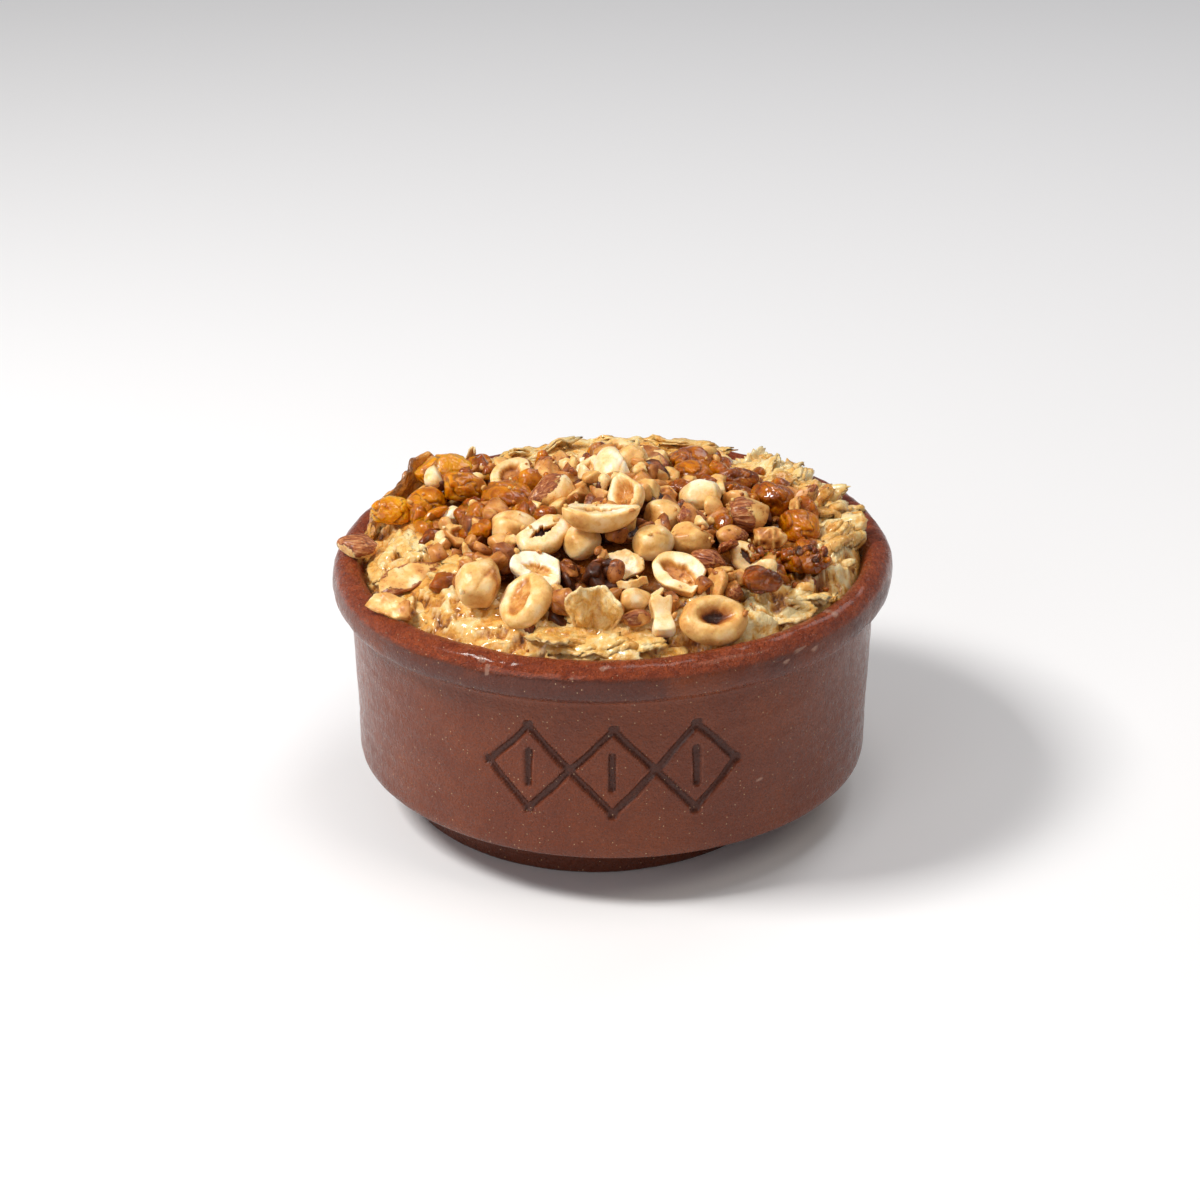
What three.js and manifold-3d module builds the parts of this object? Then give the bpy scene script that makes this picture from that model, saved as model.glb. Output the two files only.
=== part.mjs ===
// Umm ali in its clay dish: a hand-thrown bowl with a collar rim and a foot, a baked pastry pudding
// that domes above the rim, and a heap of hazelnuts, almonds and sultanas lying on it.
// Millimetres, +Z up. The origin lies on the table, under the axis of the bowl's wall, and the
// incised front of the bowl faces -Y.
import * as THREE from 'three';
import { mergeVertices } from 'three/addons/utils/BufferGeometryUtils.js';
import Module from 'manifold-3d';

// ---- Driving dimensions ----

const RIM_RADIUS = 68.4; // widest point of the collar
const RIM_HEIGHT = 65.6; // top of the rim above the table
const COLLAR_DEPTH = 11; // from the top of the rim down to the wall
const WALL_RADIUS = 63.8;
const WALL_THICKNESS = 6.2;
const WALL_FOOT = 14; // height of the wall's lower edge
const FLOOR_TOP = 13; // height of the floor inside
const FOOT_RADIUS = 47.6;
const FOOT_OFFSET = -4.2; // the foot was turned off the wall's axis, towards -X
const RIM_TILT = 1.1; // the rim stands higher by this at +X, and lower at -X
const RIM_WAVE = 0.15; // and rises and falls by this three times round
const OVALNESS = 0.5; // how far the rim is squeezed out of round
const OVAL_ANGLE = 0.45; // direction of its longer diameter, in radians
const THREE_LOBES = 0.2; // a slight three-cornered swell on top of the oval
const BOWL_SIDES = 36;

const GROOVE_RADIUS = 0.95; // round-bottomed grooves, cut to about this depth
const GROOVE_SIDES = 5;
const GROOVE_OVERRUN = 0.06; // each stroke runs past its ends by this share of its length
const LOZENGE_COUNT = 3;
const LOZENGE_WIDTH = 20;
const BAND_MIDDLE = 36.5; // height of the incised band's middle line
const BAND_HALF_HEIGHT = 11;
const DASH_HALF_HEIGHT = 4;

const GAP = 0.3; // between neighbouring solids
const PUDDING_RADIUS = 60.3; // where its top meets the rim
const PUDDING_EDGE = 63.2; // height of its top there
const DOME_RISE = 12; // of its middle above the edge
const DOME_FULLNESS = 2.6; // 2 is a plain dome, more is flatter on top
const CRUST_RISE = 2.2; // raised ring of pastry just inside the rim
const CRUST_PLACE = 0.86; // its middle, and its spread, as shares of the pudding's radius
const CRUST_SPREAD = 0.09;
const LUMP = 0.8;
const BACK_MOUND = { x: -44, y: 19, rise: 3.4, spread: 19.5 }; // the pastry swells up at the left
const PUDDING_SIDES = 36;
const SINK = 1.3; // how deep a topping presses into the pudding

const KERNEL_RINGS = 5; // facets of a nut from end to end
const KERNEL_SIDES = 8; // facets of a nut round its length
const HAZELNUT_TIP = 0.12; // how far a kernel's end is drawn out, as a share of half its length
const ALMOND_TIP = 0.3;
const SULTANA_TIP = 0.05;
const NUT_UNEVENNESS = 0.06;
const CHOPPED_UNEVENNESS = 0.2;
const FOLD_DEPTH = 0.09; // of a sultana, as a share of its radius
const CUTTER = 60; // a cutting block, larger than any topping

const DROP_HEIGHT = 112; // toppings are let down from here
const DROP_STEP = 1;
const SETTLE_HALVINGS = 6;

const CLAY = { color: 0x7d4637, roughness: 0.4 };
const PASTRY = { color: 0xd9b56a, roughness: 0.55 };
const CREAM_NUT = { color: 0xe3c283, roughness: 0.5 };
const ROAST_NUT = { color: 0xc98f4e, roughness: 0.55 };
const ALMOND_SKIN = { color: 0x8a4a2a, roughness: 0.65 };
const SULTANA_AMBER = { color: 0xb06a1c, roughness: 0.3 };

const wasm = await Module();
wasm.setup();

// ---- Solids ----

function solidFrom(geometry) {
  const bare = geometry.clone();
  bare.deleteAttribute('normal');
  bare.deleteAttribute('uv');
  const merged = mergeVertices(bare, 1e-4);
  const mesh = new wasm.Mesh({
    numProp: 3,
    vertProperties: new Float32Array(merged.attributes.position.array),
    triVerts: new Uint32Array(merged.index.array),
  });
  return new wasm.Manifold(mesh);
}

function geometryFrom(solid) {
  const mesh = solid.getMesh();
  const geometry = new THREE.BufferGeometry();
  geometry.setAttribute('position', new THREE.BufferAttribute(new Float32Array(mesh.vertProperties), 3));
  geometry.setIndex(new THREE.BufferAttribute(new Uint32Array(mesh.triVerts), 1));
  geometry.computeVertexNormals();
  return geometry;
}

function meshOf(name, geometry, look) {
  const mesh = new THREE.Mesh(geometry, new THREE.MeshStandardMaterial({ ...look, metalness: 0 }));
  mesh.name = name;
  return mesh;
}

function movePoints(geometry, move) {
  const position = geometry.attributes.position;
  const point = new THREE.Vector3();
  for (let i = 0; i < position.count; i += 1) {
    point.fromBufferAttribute(position, i);
    move(point, i);
    position.setXYZ(i, point.x, point.y, point.z);
  }
  return geometry;
}

// A profile of [radius, height] pairs, from the axis and back to it, turned about Z.
function turned(profile, sides) {
  const points = profile.map(([radius, height]) => new THREE.Vector2(radius, height));
  return new THREE.LatheGeometry(points, sides).rotateX(Math.PI / 2);
}

// ---- The bowl ----

// Hand throwing left the bowl a little oval, and its rim a little out of level.
function throwByHand(point) {
  const upper = THREE.MathUtils.smoothstep(point.z, WALL_FOOT, RIM_HEIGHT);
  const angle = Math.atan2(point.y, point.x);
  const radius = Math.hypot(point.x, point.y);
  const oval = OVALNESS * Math.cos(2 * (angle - OVAL_ANGLE));
  const swell = upper * (oval + THREE_LOBES * Math.cos(3 * angle + 1));
  const wider = radius > WALL_RADIUS / 2 ? radius + swell : radius;
  point.z += upper * (RIM_TILT * (point.x / RIM_RADIUS) + RIM_WAVE * Math.sin(3 * angle));
  point.x = wider * Math.cos(angle);
  point.y = wider * Math.sin(angle);
}

// Radius of the inside of the bowl at a height, and the profile of the inside from rim to floor.
const INNER_RADIUS = WALL_RADIUS - WALL_THICKNESS;

function insideProfile(gap) {
  return [
    [PUDDING_RADIUS + GAP - gap, RIM_HEIGHT - 3.4],
    [INNER_RADIUS + 1 - gap, RIM_HEIGHT - 8],
    [INNER_RADIUS - gap, RIM_HEIGHT - 16],
    [INNER_RADIUS - 1 - gap, FLOOR_TOP + 9],
    [INNER_RADIUS - 8 - gap, FLOOR_TOP + 1 + gap],
    [0, FLOOR_TOP + gap],
  ];
}

function bowlBody() {
  const collar = RIM_HEIGHT - COLLAR_DEPTH;
  const outside = [
    [0, WALL_FOOT - 9],
    [FOOT_RADIUS - 6, WALL_FOOT - 6],
    [WALL_RADIUS - 3, WALL_FOOT - 1.4],
    [WALL_RADIUS - 1, WALL_FOOT - 0.6],
    [WALL_RADIUS - 0.3, WALL_FOOT + 1],
    [WALL_RADIUS - 0.2, WALL_FOOT + 12],
    [WALL_RADIUS, WALL_FOOT + 27],
    [WALL_RADIUS + 0.2, collar],
    [WALL_RADIUS + 2.2, collar + 1.1],
    [RIM_RADIUS - 0.7, collar + 2.4],
    [RIM_RADIUS, collar + 4.2],
    [RIM_RADIUS - 0.1, collar + 6.4],
    [RIM_RADIUS - 0.7, RIM_HEIGHT - 2.3],
    [RIM_RADIUS - 2, RIM_HEIGHT - 0.7],
    [RIM_RADIUS - 4, RIM_HEIGHT],
    [RIM_RADIUS - 6.2, RIM_HEIGHT - 0.8],
  ];
  const profile = [...outside, ...insideProfile(0)];
  return solidFrom(movePoints(turned(profile, BOWL_SIDES), throwByHand));
}

function foot() {
  const profile = [
    [0, 0],
    [FOOT_RADIUS - 0.6, 0],
    [FOOT_RADIUS, 0.6],
    [FOOT_RADIUS + 0.6, WALL_FOOT - 4],
    [0, WALL_FOOT - 4],
  ];
  return solidFrom(turned(profile, BOWL_SIDES).translate(FOOT_OFFSET, 0, 0));
}

// A point on the front of the wall: "along" is measured round the wall to the right.
function onWall(along, height) {
  const angle = -Math.PI / 2 + along / WALL_RADIUS;
  const point = new THREE.Vector3(WALL_RADIUS * Math.cos(angle), WALL_RADIUS * Math.sin(angle), height);
  throwByHand(point);
  return point;
}

// A round groove scratched into the wall from one [along, height] to another.
function groove([fromAlong, fromHeight], [toAlong, toHeight]) {
  const stops = [-GROOVE_OVERRUN, 0.5, 1 + GROOVE_OVERRUN];
  const route = stops.map((stop) => onWall(
    THREE.MathUtils.lerp(fromAlong, toAlong, stop),
    THREE.MathUtils.lerp(fromHeight, toHeight, stop),
  ));
  const section = new THREE.Shape();
  section.absarc(0, 0, GROOVE_RADIUS, 0, 2 * Math.PI);
  const corners = section.getSpacedPoints(GROOVE_SIDES).slice(1);
  const options = { steps: 2, extrudePath: new THREE.CatmullRomCurve3(route) };
  return solidFrom(new THREE.ExtrudeGeometry(new THREE.Shape(corners), options));
}

// A hand-cut potter's band: two zigzags that cross to form lozenges, with a short dash in each.
function incisedBand() {
  const cuts = [];
  const start = (-LOZENGE_COUNT * LOZENGE_WIDTH) / 2;
  for (let i = 0; i < LOZENGE_COUNT; i += 1) {
    const left = start + i * LOZENGE_WIDTH;
    const middle = left + LOZENGE_WIDTH / 2;
    const right = left + LOZENGE_WIDTH;
    for (const side of [-1, 1]) {
      const peak = BAND_MIDDLE + side * BAND_HALF_HEIGHT;
      cuts.push(groove([left, BAND_MIDDLE], [middle, peak]));
      cuts.push(groove([middle, peak], [right, BAND_MIDDLE]));
    }
    cuts.push(groove([middle, BAND_MIDDLE - DASH_HALF_HEIGHT], [middle, BAND_MIDDLE + DASH_HALF_HEIGHT]));
  }
  return cuts;
}

function bowl() {
  const blank = bowlBody().add(foot());
  return incisedBand().reduce((clay, cut) => clay.subtract(cut), blank);
}

// ---- The pudding ----

function puddingHeight(x, y) {
  const out = Math.hypot(x, y) / PUDDING_RADIUS;
  const dome = PUDDING_EDGE + DOME_RISE * (1 - out ** DOME_FULLNESS);
  const crust = CRUST_RISE * Math.exp(-(((out - CRUST_PLACE) / CRUST_SPREAD) ** 2));
  const fromMound = Math.hypot(x - BACK_MOUND.x, y - BACK_MOUND.y) / BACK_MOUND.spread;
  const mound = BACK_MOUND.rise * Math.exp(-(fromMound ** 2));
  const broad = Math.sin(0.27 * x + 1.3) * Math.cos(0.23 * y - 0.4);
  const lumps = LUMP * (broad + 0.7 * Math.sin(0.4 * x - 0.45 * y + 2));
  return dome + (crust + mound + lumps) * (1 - out ** 10);
}

function pudding() {
  const sides = insideProfile(GAP).reverse();
  const topRings = [0.97, 0.91, 0.85, 0.77, 0.66, 0.52, 0.36, 0.18, 0];
  const top = topRings.map((out) => [out * PUDDING_RADIUS, RIM_HEIGHT]);
  const profile = [...sides, [PUDDING_RADIUS, PUDDING_EDGE], ...top];
  const firstOfTop = sides.length + 1;
  return solidFrom(movePoints(turned(profile, PUDDING_SIDES), (point, i) => {
    const onTop = i % profile.length >= firstOfTop;
    if (onTop) point.z = puddingHeight(point.x, point.y);
    throwByHand(point);
  }));
}

// ---- Shapes of the toppings: each lies along X with its cut or upper face towards +Z ----

// Uneven growth: each point moves in or out by a smooth amount that differs from piece to piece.
function uneven(geometry, amount, seed) {
  return movePoints(geometry, (point) => {
    const alongWave = Math.sin(0.5 * point.x + 1.7 * seed);
    const acrossWave = Math.sin(0.6 * point.y - 0.4 * point.z + 2.3 * seed);
    point.multiplyScalar(1 + (amount * (alongWave + acrossWave)) / 2);
  });
}

// A closed kernel, blunt at -X and drawn out to a tip at +X.
function kernel(length, width, thickness, tip, seed) {
  const profile = [];
  for (let i = 0; i <= KERNEL_RINGS; i += 1) {
    const turn = (Math.PI * i) / KERNEL_RINGS;
    const along = -Math.cos(turn);
    profile.push([Math.sin(turn) ** (1 + tip), along + tip * Math.max(0, along) ** 3]);
  }
  const shape = turned(profile, KERNEL_SIDES).rotateY(Math.PI / 2);
  shape.scale(length / (2 + tip), width / 2, thickness / 2);
  return uneven(shape, NUT_UNEVENNESS, seed);
}

// What lies below a plane at this height, sloped by this many degrees along X.
function keepBelow(solid, height, slope) {
  const block = new THREE.BoxGeometry(CUTTER, CUTTER, CUTTER).translate(0, 0, -CUTTER / 2);
  block.rotateY(THREE.MathUtils.degToRad(slope)).translate(0, 0, height);
  return solid.intersect(solidFrom(block));
}

// What lies behind an upright plane at this place along X, sloped by this many degrees in plan.
function keepBehind(solid, along, slope) {
  const block = new THREE.BoxGeometry(CUTTER, CUTTER, CUTTER).translate(-CUTTER / 2, 0, 0);
  block.rotateZ(THREE.MathUtils.degToRad(slope)).translate(along, 0, 0);
  return solid.intersect(solidFrom(block));
}

function hazelnut({ length, width = length * 0.9, seed = 0 }) {
  return solidFrom(kernel(length, width, width, HAZELNUT_TIP, seed));
}

// Half a hazelnut: a flat cut face with the seed's hollow in it. "hollow" is the hollow's share of
// the face and "deep" its depth as a share of the half's height.
function hazelnutHalf({ length, width = length * 0.82, hollow = 0.5, deep = 0.5, seed = 0 }) {
  const half = keepBelow(solidFrom(kernel(length, width, width, HAZELNUT_TIP, seed)), 0.4, 3);
  const scoop = new THREE.SphereGeometry(1, 8, 6).rotateX(Math.PI / 2);
  scoop.scale((hollow * length) / 2, (hollow * width) / 2, (deep * width) / 2).translate(-0.3, 0.2, 0.4);
  return half.subtract(solidFrom(scoop));
}

// Part of an almond: a flat teardrop kernel cut across, "keep" along its length.
function almondPiece({ length, width, thickness, keep = 1, slope = 15, seed = 0 }) {
  const whole = solidFrom(kernel(length, width, thickness, ALMOND_TIP, seed));
  return keep < 1 ? keepBehind(whole, (keep - 0.5) * length, slope) : whole;
}

// A lengthwise slice of almond, flat above and rounded below.
function almondSlice({ length, width, thickness, seed = 0 }) {
  const whole = solidFrom(kernel(length, width, thickness * 3, ALMOND_TIP, seed));
  return keepBelow(whole, -thickness / 2, 4);
}

// A plumped sultana: an oval drawn in by lengthwise folds.
function sultana({ length, width, thickness = width * 0.75, seed = 0 }) {
  const shape = kernel(length, width, thickness, SULTANA_TIP, seed);
  return solidFrom(movePoints(shape, (point) => {
    const around = Math.atan2(point.z, point.y);
    const fold = 1 + FOLD_DEPTH * Math.cos(3 * around + 0.25 * point.x + seed);
    point.y *= fold;
    point.z *= fold;
  }));
}

// A chopped bit: an angular lump.
function choppedBit({ length, width, thickness, seed = 0 }) {
  const shape = new THREE.IcosahedronGeometry(1, 0).rotateZ(seed).rotateX(2 * seed);
  return solidFrom(uneven(shape.scale(length / 2, width / 2, thickness / 2), CHOPPED_UNEVENNESS, seed));
}

// A saddle of nut: a thick slab pinched at the middle of its length.
function saddle({ length, width, thickness, seed = 0 }) {
  const shape = kernel(length, width, thickness, 0, seed);
  return solidFrom(movePoints(shape, (point) => {
    const pinch = 1 - 0.35 * Math.exp(-((point.x / (0.22 * length)) ** 2));
    point.y *= pinch;
    point.z += 0.02 * point.x * point.x;
  }));
}

// A flake of pastry standing on its narrow edge, fanning out and curling towards a ragged top.
function flake({ height, width, thickness }) {
  const columns = 8;
  const rows = 4;
  const sheet = new THREE.BoxGeometry(width, height, thickness, columns, rows, 1);
  return solidFrom(movePoints(sheet, (point) => {
    const up = point.y / height + 0.5;
    const across = (2 * point.x) / width;
    const ragged = 0.06 * height * up * Math.sin(7.5 * across + 1);
    const cupped = 1.6 * Math.sin(2.2 * up) * across * across;
    const rippled = 1.1 * Math.sin(4 * across) * up;
    point.x *= 0.55 + 0.45 * Math.sqrt(up);
    point.y += ragged - 0.12 * height * up * across * across;
    point.z += cupped + rippled - 2.4 * up * up;
  }).rotateX(Math.PI / 2));
}

// ---- The heap: [name, shape, its sizes, [x, y], [turn, tilt, roll], look] ----
// Turn is about +Z, tilt lowers the +X end, and roll leans the upper face towards -Y; all in degrees.

const HEAP = [
  // On the rim and the crust round the edge
  ['almond_rim', almondPiece, { length: 11.5, width: 8, thickness: 5.5 },
    [-62.5, -4.5], [-5, 6, 10], ALMOND_SKIN],
  ['nut_flat_rim', choppedBit, { length: 11, width: 8, thickness: 3, seed: 1 },
    [-53.5, -37.5], [20, 8, 20], ROAST_NUT],
  ['sultana_left', sultana, { length: 11, width: 8, seed: 1 }, [-55, 7], [10, 0, 20], SULTANA_AMBER],
  ['sultana_mound', sultana, { length: 14, width: 10.5, seed: 2 }, [-42, 23], [20, 5, 0], SULTANA_AMBER],
  ['sultana_inner', sultana, { length: 12, width: 9, seed: 3 }, [-46, 7], [70, 0, 0], SULTANA_AMBER],
  ['sultana_right', sultana, { length: 12, width: 9, seed: 4 }, [45.5, -6], [-20, 0, 0], SULTANA_AMBER],
  ['sultana_syrupy', sultana, { length: 12, width: 10, seed: 5 }, [45.6, -22.4], [30, 0, 0], SULTANA_AMBER],
  ['almond_low', choppedBit, { length: 6.6, width: 5, thickness: 4.4, seed: 11 },
    [4.6, -51.9], [10, 0, 0], ALMOND_SKIN],
  ['almond_slice', almondSlice, { length: 21, width: 9.5, thickness: 2.4, seed: 1 },
    [-48.8, -25], [34, -13, 18], ROAST_NUT],
  ['flake_front', flake, { height: 13, width: 13, thickness: 1.2 }, [-4.5, -54], [0, 0, -12], PASTRY],
  ['hazelnut_ring', hazelnutHalf, { length: 16, width: 13.4, hollow: 0.62, deep: 0.7 },
    [23.5, -52], [14, 0, 32], CREAM_NUT],
  ['saddle_front', saddle, { length: 10.5, width: 7.8, thickness: 5.5 },
    [11.4, -50.8], [98, -42, 0], CREAM_NUT],
  ['hazelnut_yellow', hazelnut, { length: 8, width: 6.4, seed: 2 }, [4.6, -45.6], [20, 0, 0], CREAM_NUT],
  // The lower layer of the heap
  ['hazelnut_whole', hazelnut, { length: 12.8, width: 11.6, seed: 3 },
    [-31.5, -41], [80, -25, 0], CREAM_NUT],
  ['hazelnut_brown', hazelnutHalf, { length: 14.4, width: 13, hollow: 0.5, deep: 0.4, seed: 1 },
    [-21.5, -47], [76, -34, -28], CREAM_NUT],
  ['nut_left_small', choppedBit, { length: 6.5, width: 5, thickness: 4.5, seed: 2 },
    [-30, -19.5], [10, 0, 0], CREAM_NUT],
  ['hazelnut_left_half', hazelnutHalf, { length: 8.6, width: 7.4, seed: 2 },
    [-37, -11], [20, 0, 30], ROAST_NUT],
  ['nut_left_block', choppedBit, { length: 6.8, width: 5.4, thickness: 5.6, seed: 3 },
    [-39, 0], [15, 0, 10], CREAM_NUT],
  ['sultana_middle', sultana, { length: 13, width: 8.6, seed: 6 },
    [-37, 8.5], [15, 5, 0], SULTANA_AMBER],
  ['sultana_glossy', sultana, { length: 14, width: 11, seed: 7 }, [-26.5, 0], [-20, 0, 0], SULTANA_AMBER],
  ['hazelnut_back_half', hazelnutHalf, { length: 12, width: 9.8, seed: 3 },
    [-25.5, 14.5], [50, -18, 20], ROAST_NUT],
  ['almond_skin_chip', almondPiece, { length: 9, width: 7, thickness: 6, keep: 0.8, seed: 2 },
    [-16, 22], [30, 0, 0], ALMOND_SKIN],
  ['almond_large', almondPiece, { length: 15, width: 10.4, thickness: 9, keep: 0.78, seed: 3 },
    [-13.8, 1.5], [20, -6, 0], ROAST_NUT],
  ['hazelnut_smooth', hazelnut, { length: 12, width: 9.6, seed: 4 }, [-24.5, -15], [10, 0, 0], CREAM_NUT],
  ['hazelnut_rounded', hazelnut, { length: 10.4, width: 8.6, seed: 5 },
    [-7.3, -25], [60, 0, 0], CREAM_NUT],
  ['nut_pale_lower', choppedBit, { length: 8, width: 6, thickness: 5.6, seed: 13 },
    [5, -38], [60, 10, 0], CREAM_NUT],
  ['nut_pale_wedge', choppedBit, { length: 9, width: 6.6, thickness: 5.4, seed: 4 },
    [3.5, -31], [-30, 20, 30], CREAM_NUT],
  ['hazelnut_long', hazelnutHalf, { length: 14.6, width: 11, hollow: 0.68, deep: 0.4, seed: 4 },
    [15.5, -37.5], [-34, 14, 28], CREAM_NUT],
  ['almond_red', almondPiece, { length: 9.6, width: 7.2, thickness: 7, seed: 4 },
    [21.8, -29.8], [-20, 5, 0], ALMOND_SKIN],
  ['nut_right_low', choppedBit, { length: 7.4, width: 6, thickness: 5.2, seed: 5 },
    [30, -33.5], [20, 0, 0], ROAST_NUT],
  ['sultana_dark', sultana, { length: 10, width: 8, seed: 8 }, [34.5, -38.5], [-10, 0, 0], SULTANA_AMBER],
  ['hazelnut_slit', hazelnutHalf, { length: 9, width: 7, hollow: 0.5, seed: 5 },
    [31.5, -25], [-52, 34, 10], CREAM_NUT],
  ['nut_right_crusty', choppedBit, { length: 8.4, width: 6.6, thickness: 6.2, seed: 6 },
    [38.3, -13.8], [0, 0, 15], ROAST_NUT],
  ['nut_red_strip', choppedBit, { length: 9.6, width: 3.4, thickness: 3, seed: 14 },
    [26.8, -25.5], [-70, -38, 0], ALMOND_SKIN],
  ['nut_right_tan', choppedBit, { length: 6, width: 4.8, thickness: 4.4, seed: 7 },
    [36.6, -21.5], [-25, 5, 0], ROAST_NUT],
  ['almond_tan', almondPiece, { length: 8.6, width: 6.8, thickness: 6, seed: 5 },
    [28, -17], [10, 0, 0], ROAST_NUT],
  ['almond_right', almondPiece, { length: 16, width: 11.2, thickness: 9.6, keep: 0.78, seed: 6 },
    [32, -6], [168, 0, 0], ALMOND_SKIN],
  ['sultana_big', sultana, { length: 13.4, width: 10, seed: 9 }, [40, 7], [-50, 0, 0], SULTANA_AMBER],
  ['sultana_ridge', sultana, { length: 12.4, width: 8.6, seed: 10 },
    [30, 17.5], [10, 0, 0], SULTANA_AMBER],
  ['sultana_ridge_left', sultana, { length: 11.4, width: 7.6, seed: 11 },
    [19.5, 20], [5, 0, 0], SULTANA_AMBER],
  ['sultana_top', sultana, { length: 11, width: 9, seed: 12 }, [19, 30.5], [-30, 0, 0], SULTANA_AMBER],
  ['almond_dark', almondPiece, { length: 9.6, width: 8, thickness: 7, seed: 7 },
    [9.5, 23], [-30, 0, 0], ALMOND_SKIN],
  ['hazelnut_top', hazelnutHalf, { length: 10, width: 8.8, hollow: 0.4, seed: 6 },
    [0, 31], [20, -10, 30], ROAST_NUT],
  ['hazelnut_pointed', hazelnut, { length: 11.2, width: 8.6, seed: 6 },
    [22, 0.5], [165, 10, 0], CREAM_NUT],
  ['nut_orange', choppedBit, { length: 7.4, width: 5.6, thickness: 5.4, seed: 8 },
    [12.5, 1.5], [-20, 0, 0], ROAST_NUT],
  ['hazelnut_shaded', hazelnut, { length: 10.6, width: 8.6, seed: 7 },
    [12, -11.5], [-30, 0, 0], CREAM_NUT],
  ['nut_amber', choppedBit, { length: 6.6, width: 5, thickness: 4.4, seed: 9 },
    [20, -7.5], [10, 0, 0], ROAST_NUT],
  ['hazelnut_green', hazelnut, { length: 11.4, width: 8, seed: 8 }, [18, -22.5], [-10, 4, 0], CREAM_NUT],
  ['hazelnut_pale', hazelnut, { length: 9.8, width: 8.8, seed: 9 }, [9.3, -27], [30, 0, 0], CREAM_NUT],
  ['hazelnut_red_half', hazelnutHalf, { length: 9.6, width: 7.6, hollow: 0.6, seed: 7 },
    [4.5, -17], [15, 0, 25], ALMOND_SKIN],
  // The upper layer
  ['hazelnut_dark', hazelnutHalf, { length: 14, width: 11, hollow: 0.55, seed: 9 },
    [-17, -25], [34, -12, 20], CREAM_NUT],
  ['hazelnut_white', hazelnutHalf, { length: 14, width: 10.6, hollow: 0.3, seed: 8 },
    [-18, -36], [-14, 6, 30], CREAM_NUT],
  ['hazelnut_boat', hazelnutHalf, { length: 18.6, width: 10.2, hollow: 0.76, deep: 0.7, seed: 13 },
    [-4, -25.5], [5, 0, -8], CREAM_NUT],
  ['hazelnut_edge', hazelnutHalf, { length: 10, width: 8.4, hollow: 0.4, seed: 10 },
    [-6, 14], [80, -40, 0], CREAM_NUT],
  ['hazelnut_pale_back', hazelnut, { length: 10.6, width: 8.6, seed: 10 },
    [4.5, 17], [70, -20, 0], CREAM_NUT],
  ['hazelnut_cream', hazelnut, { length: 12, width: 9.6, seed: 11 },
    [0, 8.3], [96, -28, 0], CREAM_NUT],
  ['hazelnut_curved', hazelnutHalf, { length: 14, width: 10, hollow: 0.72, deep: 0.6, seed: 12 },
    [2.5, -10.5], [100, -22, -38], CREAM_NUT],
];

// ---- Placing ----

function turnedBy([turn, tilt, roll]) {
  const [yaw, pitch, bank] = [turn, tilt, roll].map(THREE.MathUtils.degToRad);
  return new THREE.Matrix4().makeRotationFromEuler(new THREE.Euler(bank, pitch, yaw, 'ZYX'));
}

// The piece, and the same piece grown by the gap all round.
function posed(solid, angles) {
  const geometry = geometryFrom(solid).applyMatrix4(turnedBy(angles));
  const normals = geometry.attributes.normal;
  const normal = new THREE.Vector3();
  const grown = movePoints(geometry.clone(), (point, i) => {
    normal.fromBufferAttribute(normals, i);
    point.addScaledVector(normal, GAP);
  });
  return { geometry, grown };
}

function boxOf(geometry) {
  geometry.computeBoundingBox();
  return geometry.boundingBox.clone();
}

function touches(grown, place, neighbours) {
  const moved = grown.clone().translate(place.x, place.y, place.z);
  const box = boxOf(moved);
  const near = neighbours.filter((neighbour) => neighbour.box.intersectsBox(box));
  if (!near.length) return false;
  const solid = solidFrom(moved);
  return near.some((neighbour) => solid.intersect(neighbour.solid).numTri() > 0);
}

// Lets a piece down onto what is there until it is a gap away from touching.
function settle(grown, [x, y], neighbours) {
  const place = new THREE.Vector3(x, y, DROP_HEIGHT);
  while (!touches(grown, place, neighbours)) {
    place.z -= DROP_STEP;
  }
  let low = place.z;
  let high = place.z + DROP_STEP;
  for (let i = 0; i < SETTLE_HALVINGS; i += 1) {
    place.z = (low + high) / 2;
    if (touches(grown, place, neighbours)) low = place.z;
    else high = place.z;
  }
  place.z = high;
  return place;
}

function build() {
  const group = new THREE.Group();
  const dish = bowl();
  let filling = pudding();
  const dishGeometry = geometryFrom(dish);
  const fillingGeometry = geometryFrom(filling);
  const firm = fillingGeometry.clone().translate(0, 0, -SINK);
  const heap = [
    { solid: dish, box: boxOf(dishGeometry) },
    { solid: solidFrom(firm), box: boxOf(firm) },
  ];
  group.add(meshOf('bowl', dishGeometry, CLAY));
  for (const [name, shape, sizes, spot, angles, look] of HEAP) {
    const { geometry, grown } = posed(shape(sizes), angles);
    const place = settle(grown, spot, heap);
    const topping = geometry.translate(place.x, place.y, place.z);
    const dent = grown.translate(place.x, place.y, place.z);
    filling = filling.subtract(solidFrom(dent));
    heap.push({ solid: solidFrom(topping), box: boxOf(topping) });
    group.add(meshOf(name, topping, look));
  }
  group.add(meshOf('pudding', geometryFrom(filling), PASTRY));
  return group;
}

const ummAli = build();

export default ummAli;
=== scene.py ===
"""Looks of the umm ali: a glazed clay bowl, flaky pastry soaked in milk, and a heap of nuts and sultanas.

Lengths in this script are millimetres, and new_mesh() turns them into metres. Bearings are degrees round
the dish, where 0 is its right side and -90 its front. A topping takes its place, direction and size from
its CAD node.
"""

import math
from itertools import product

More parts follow.
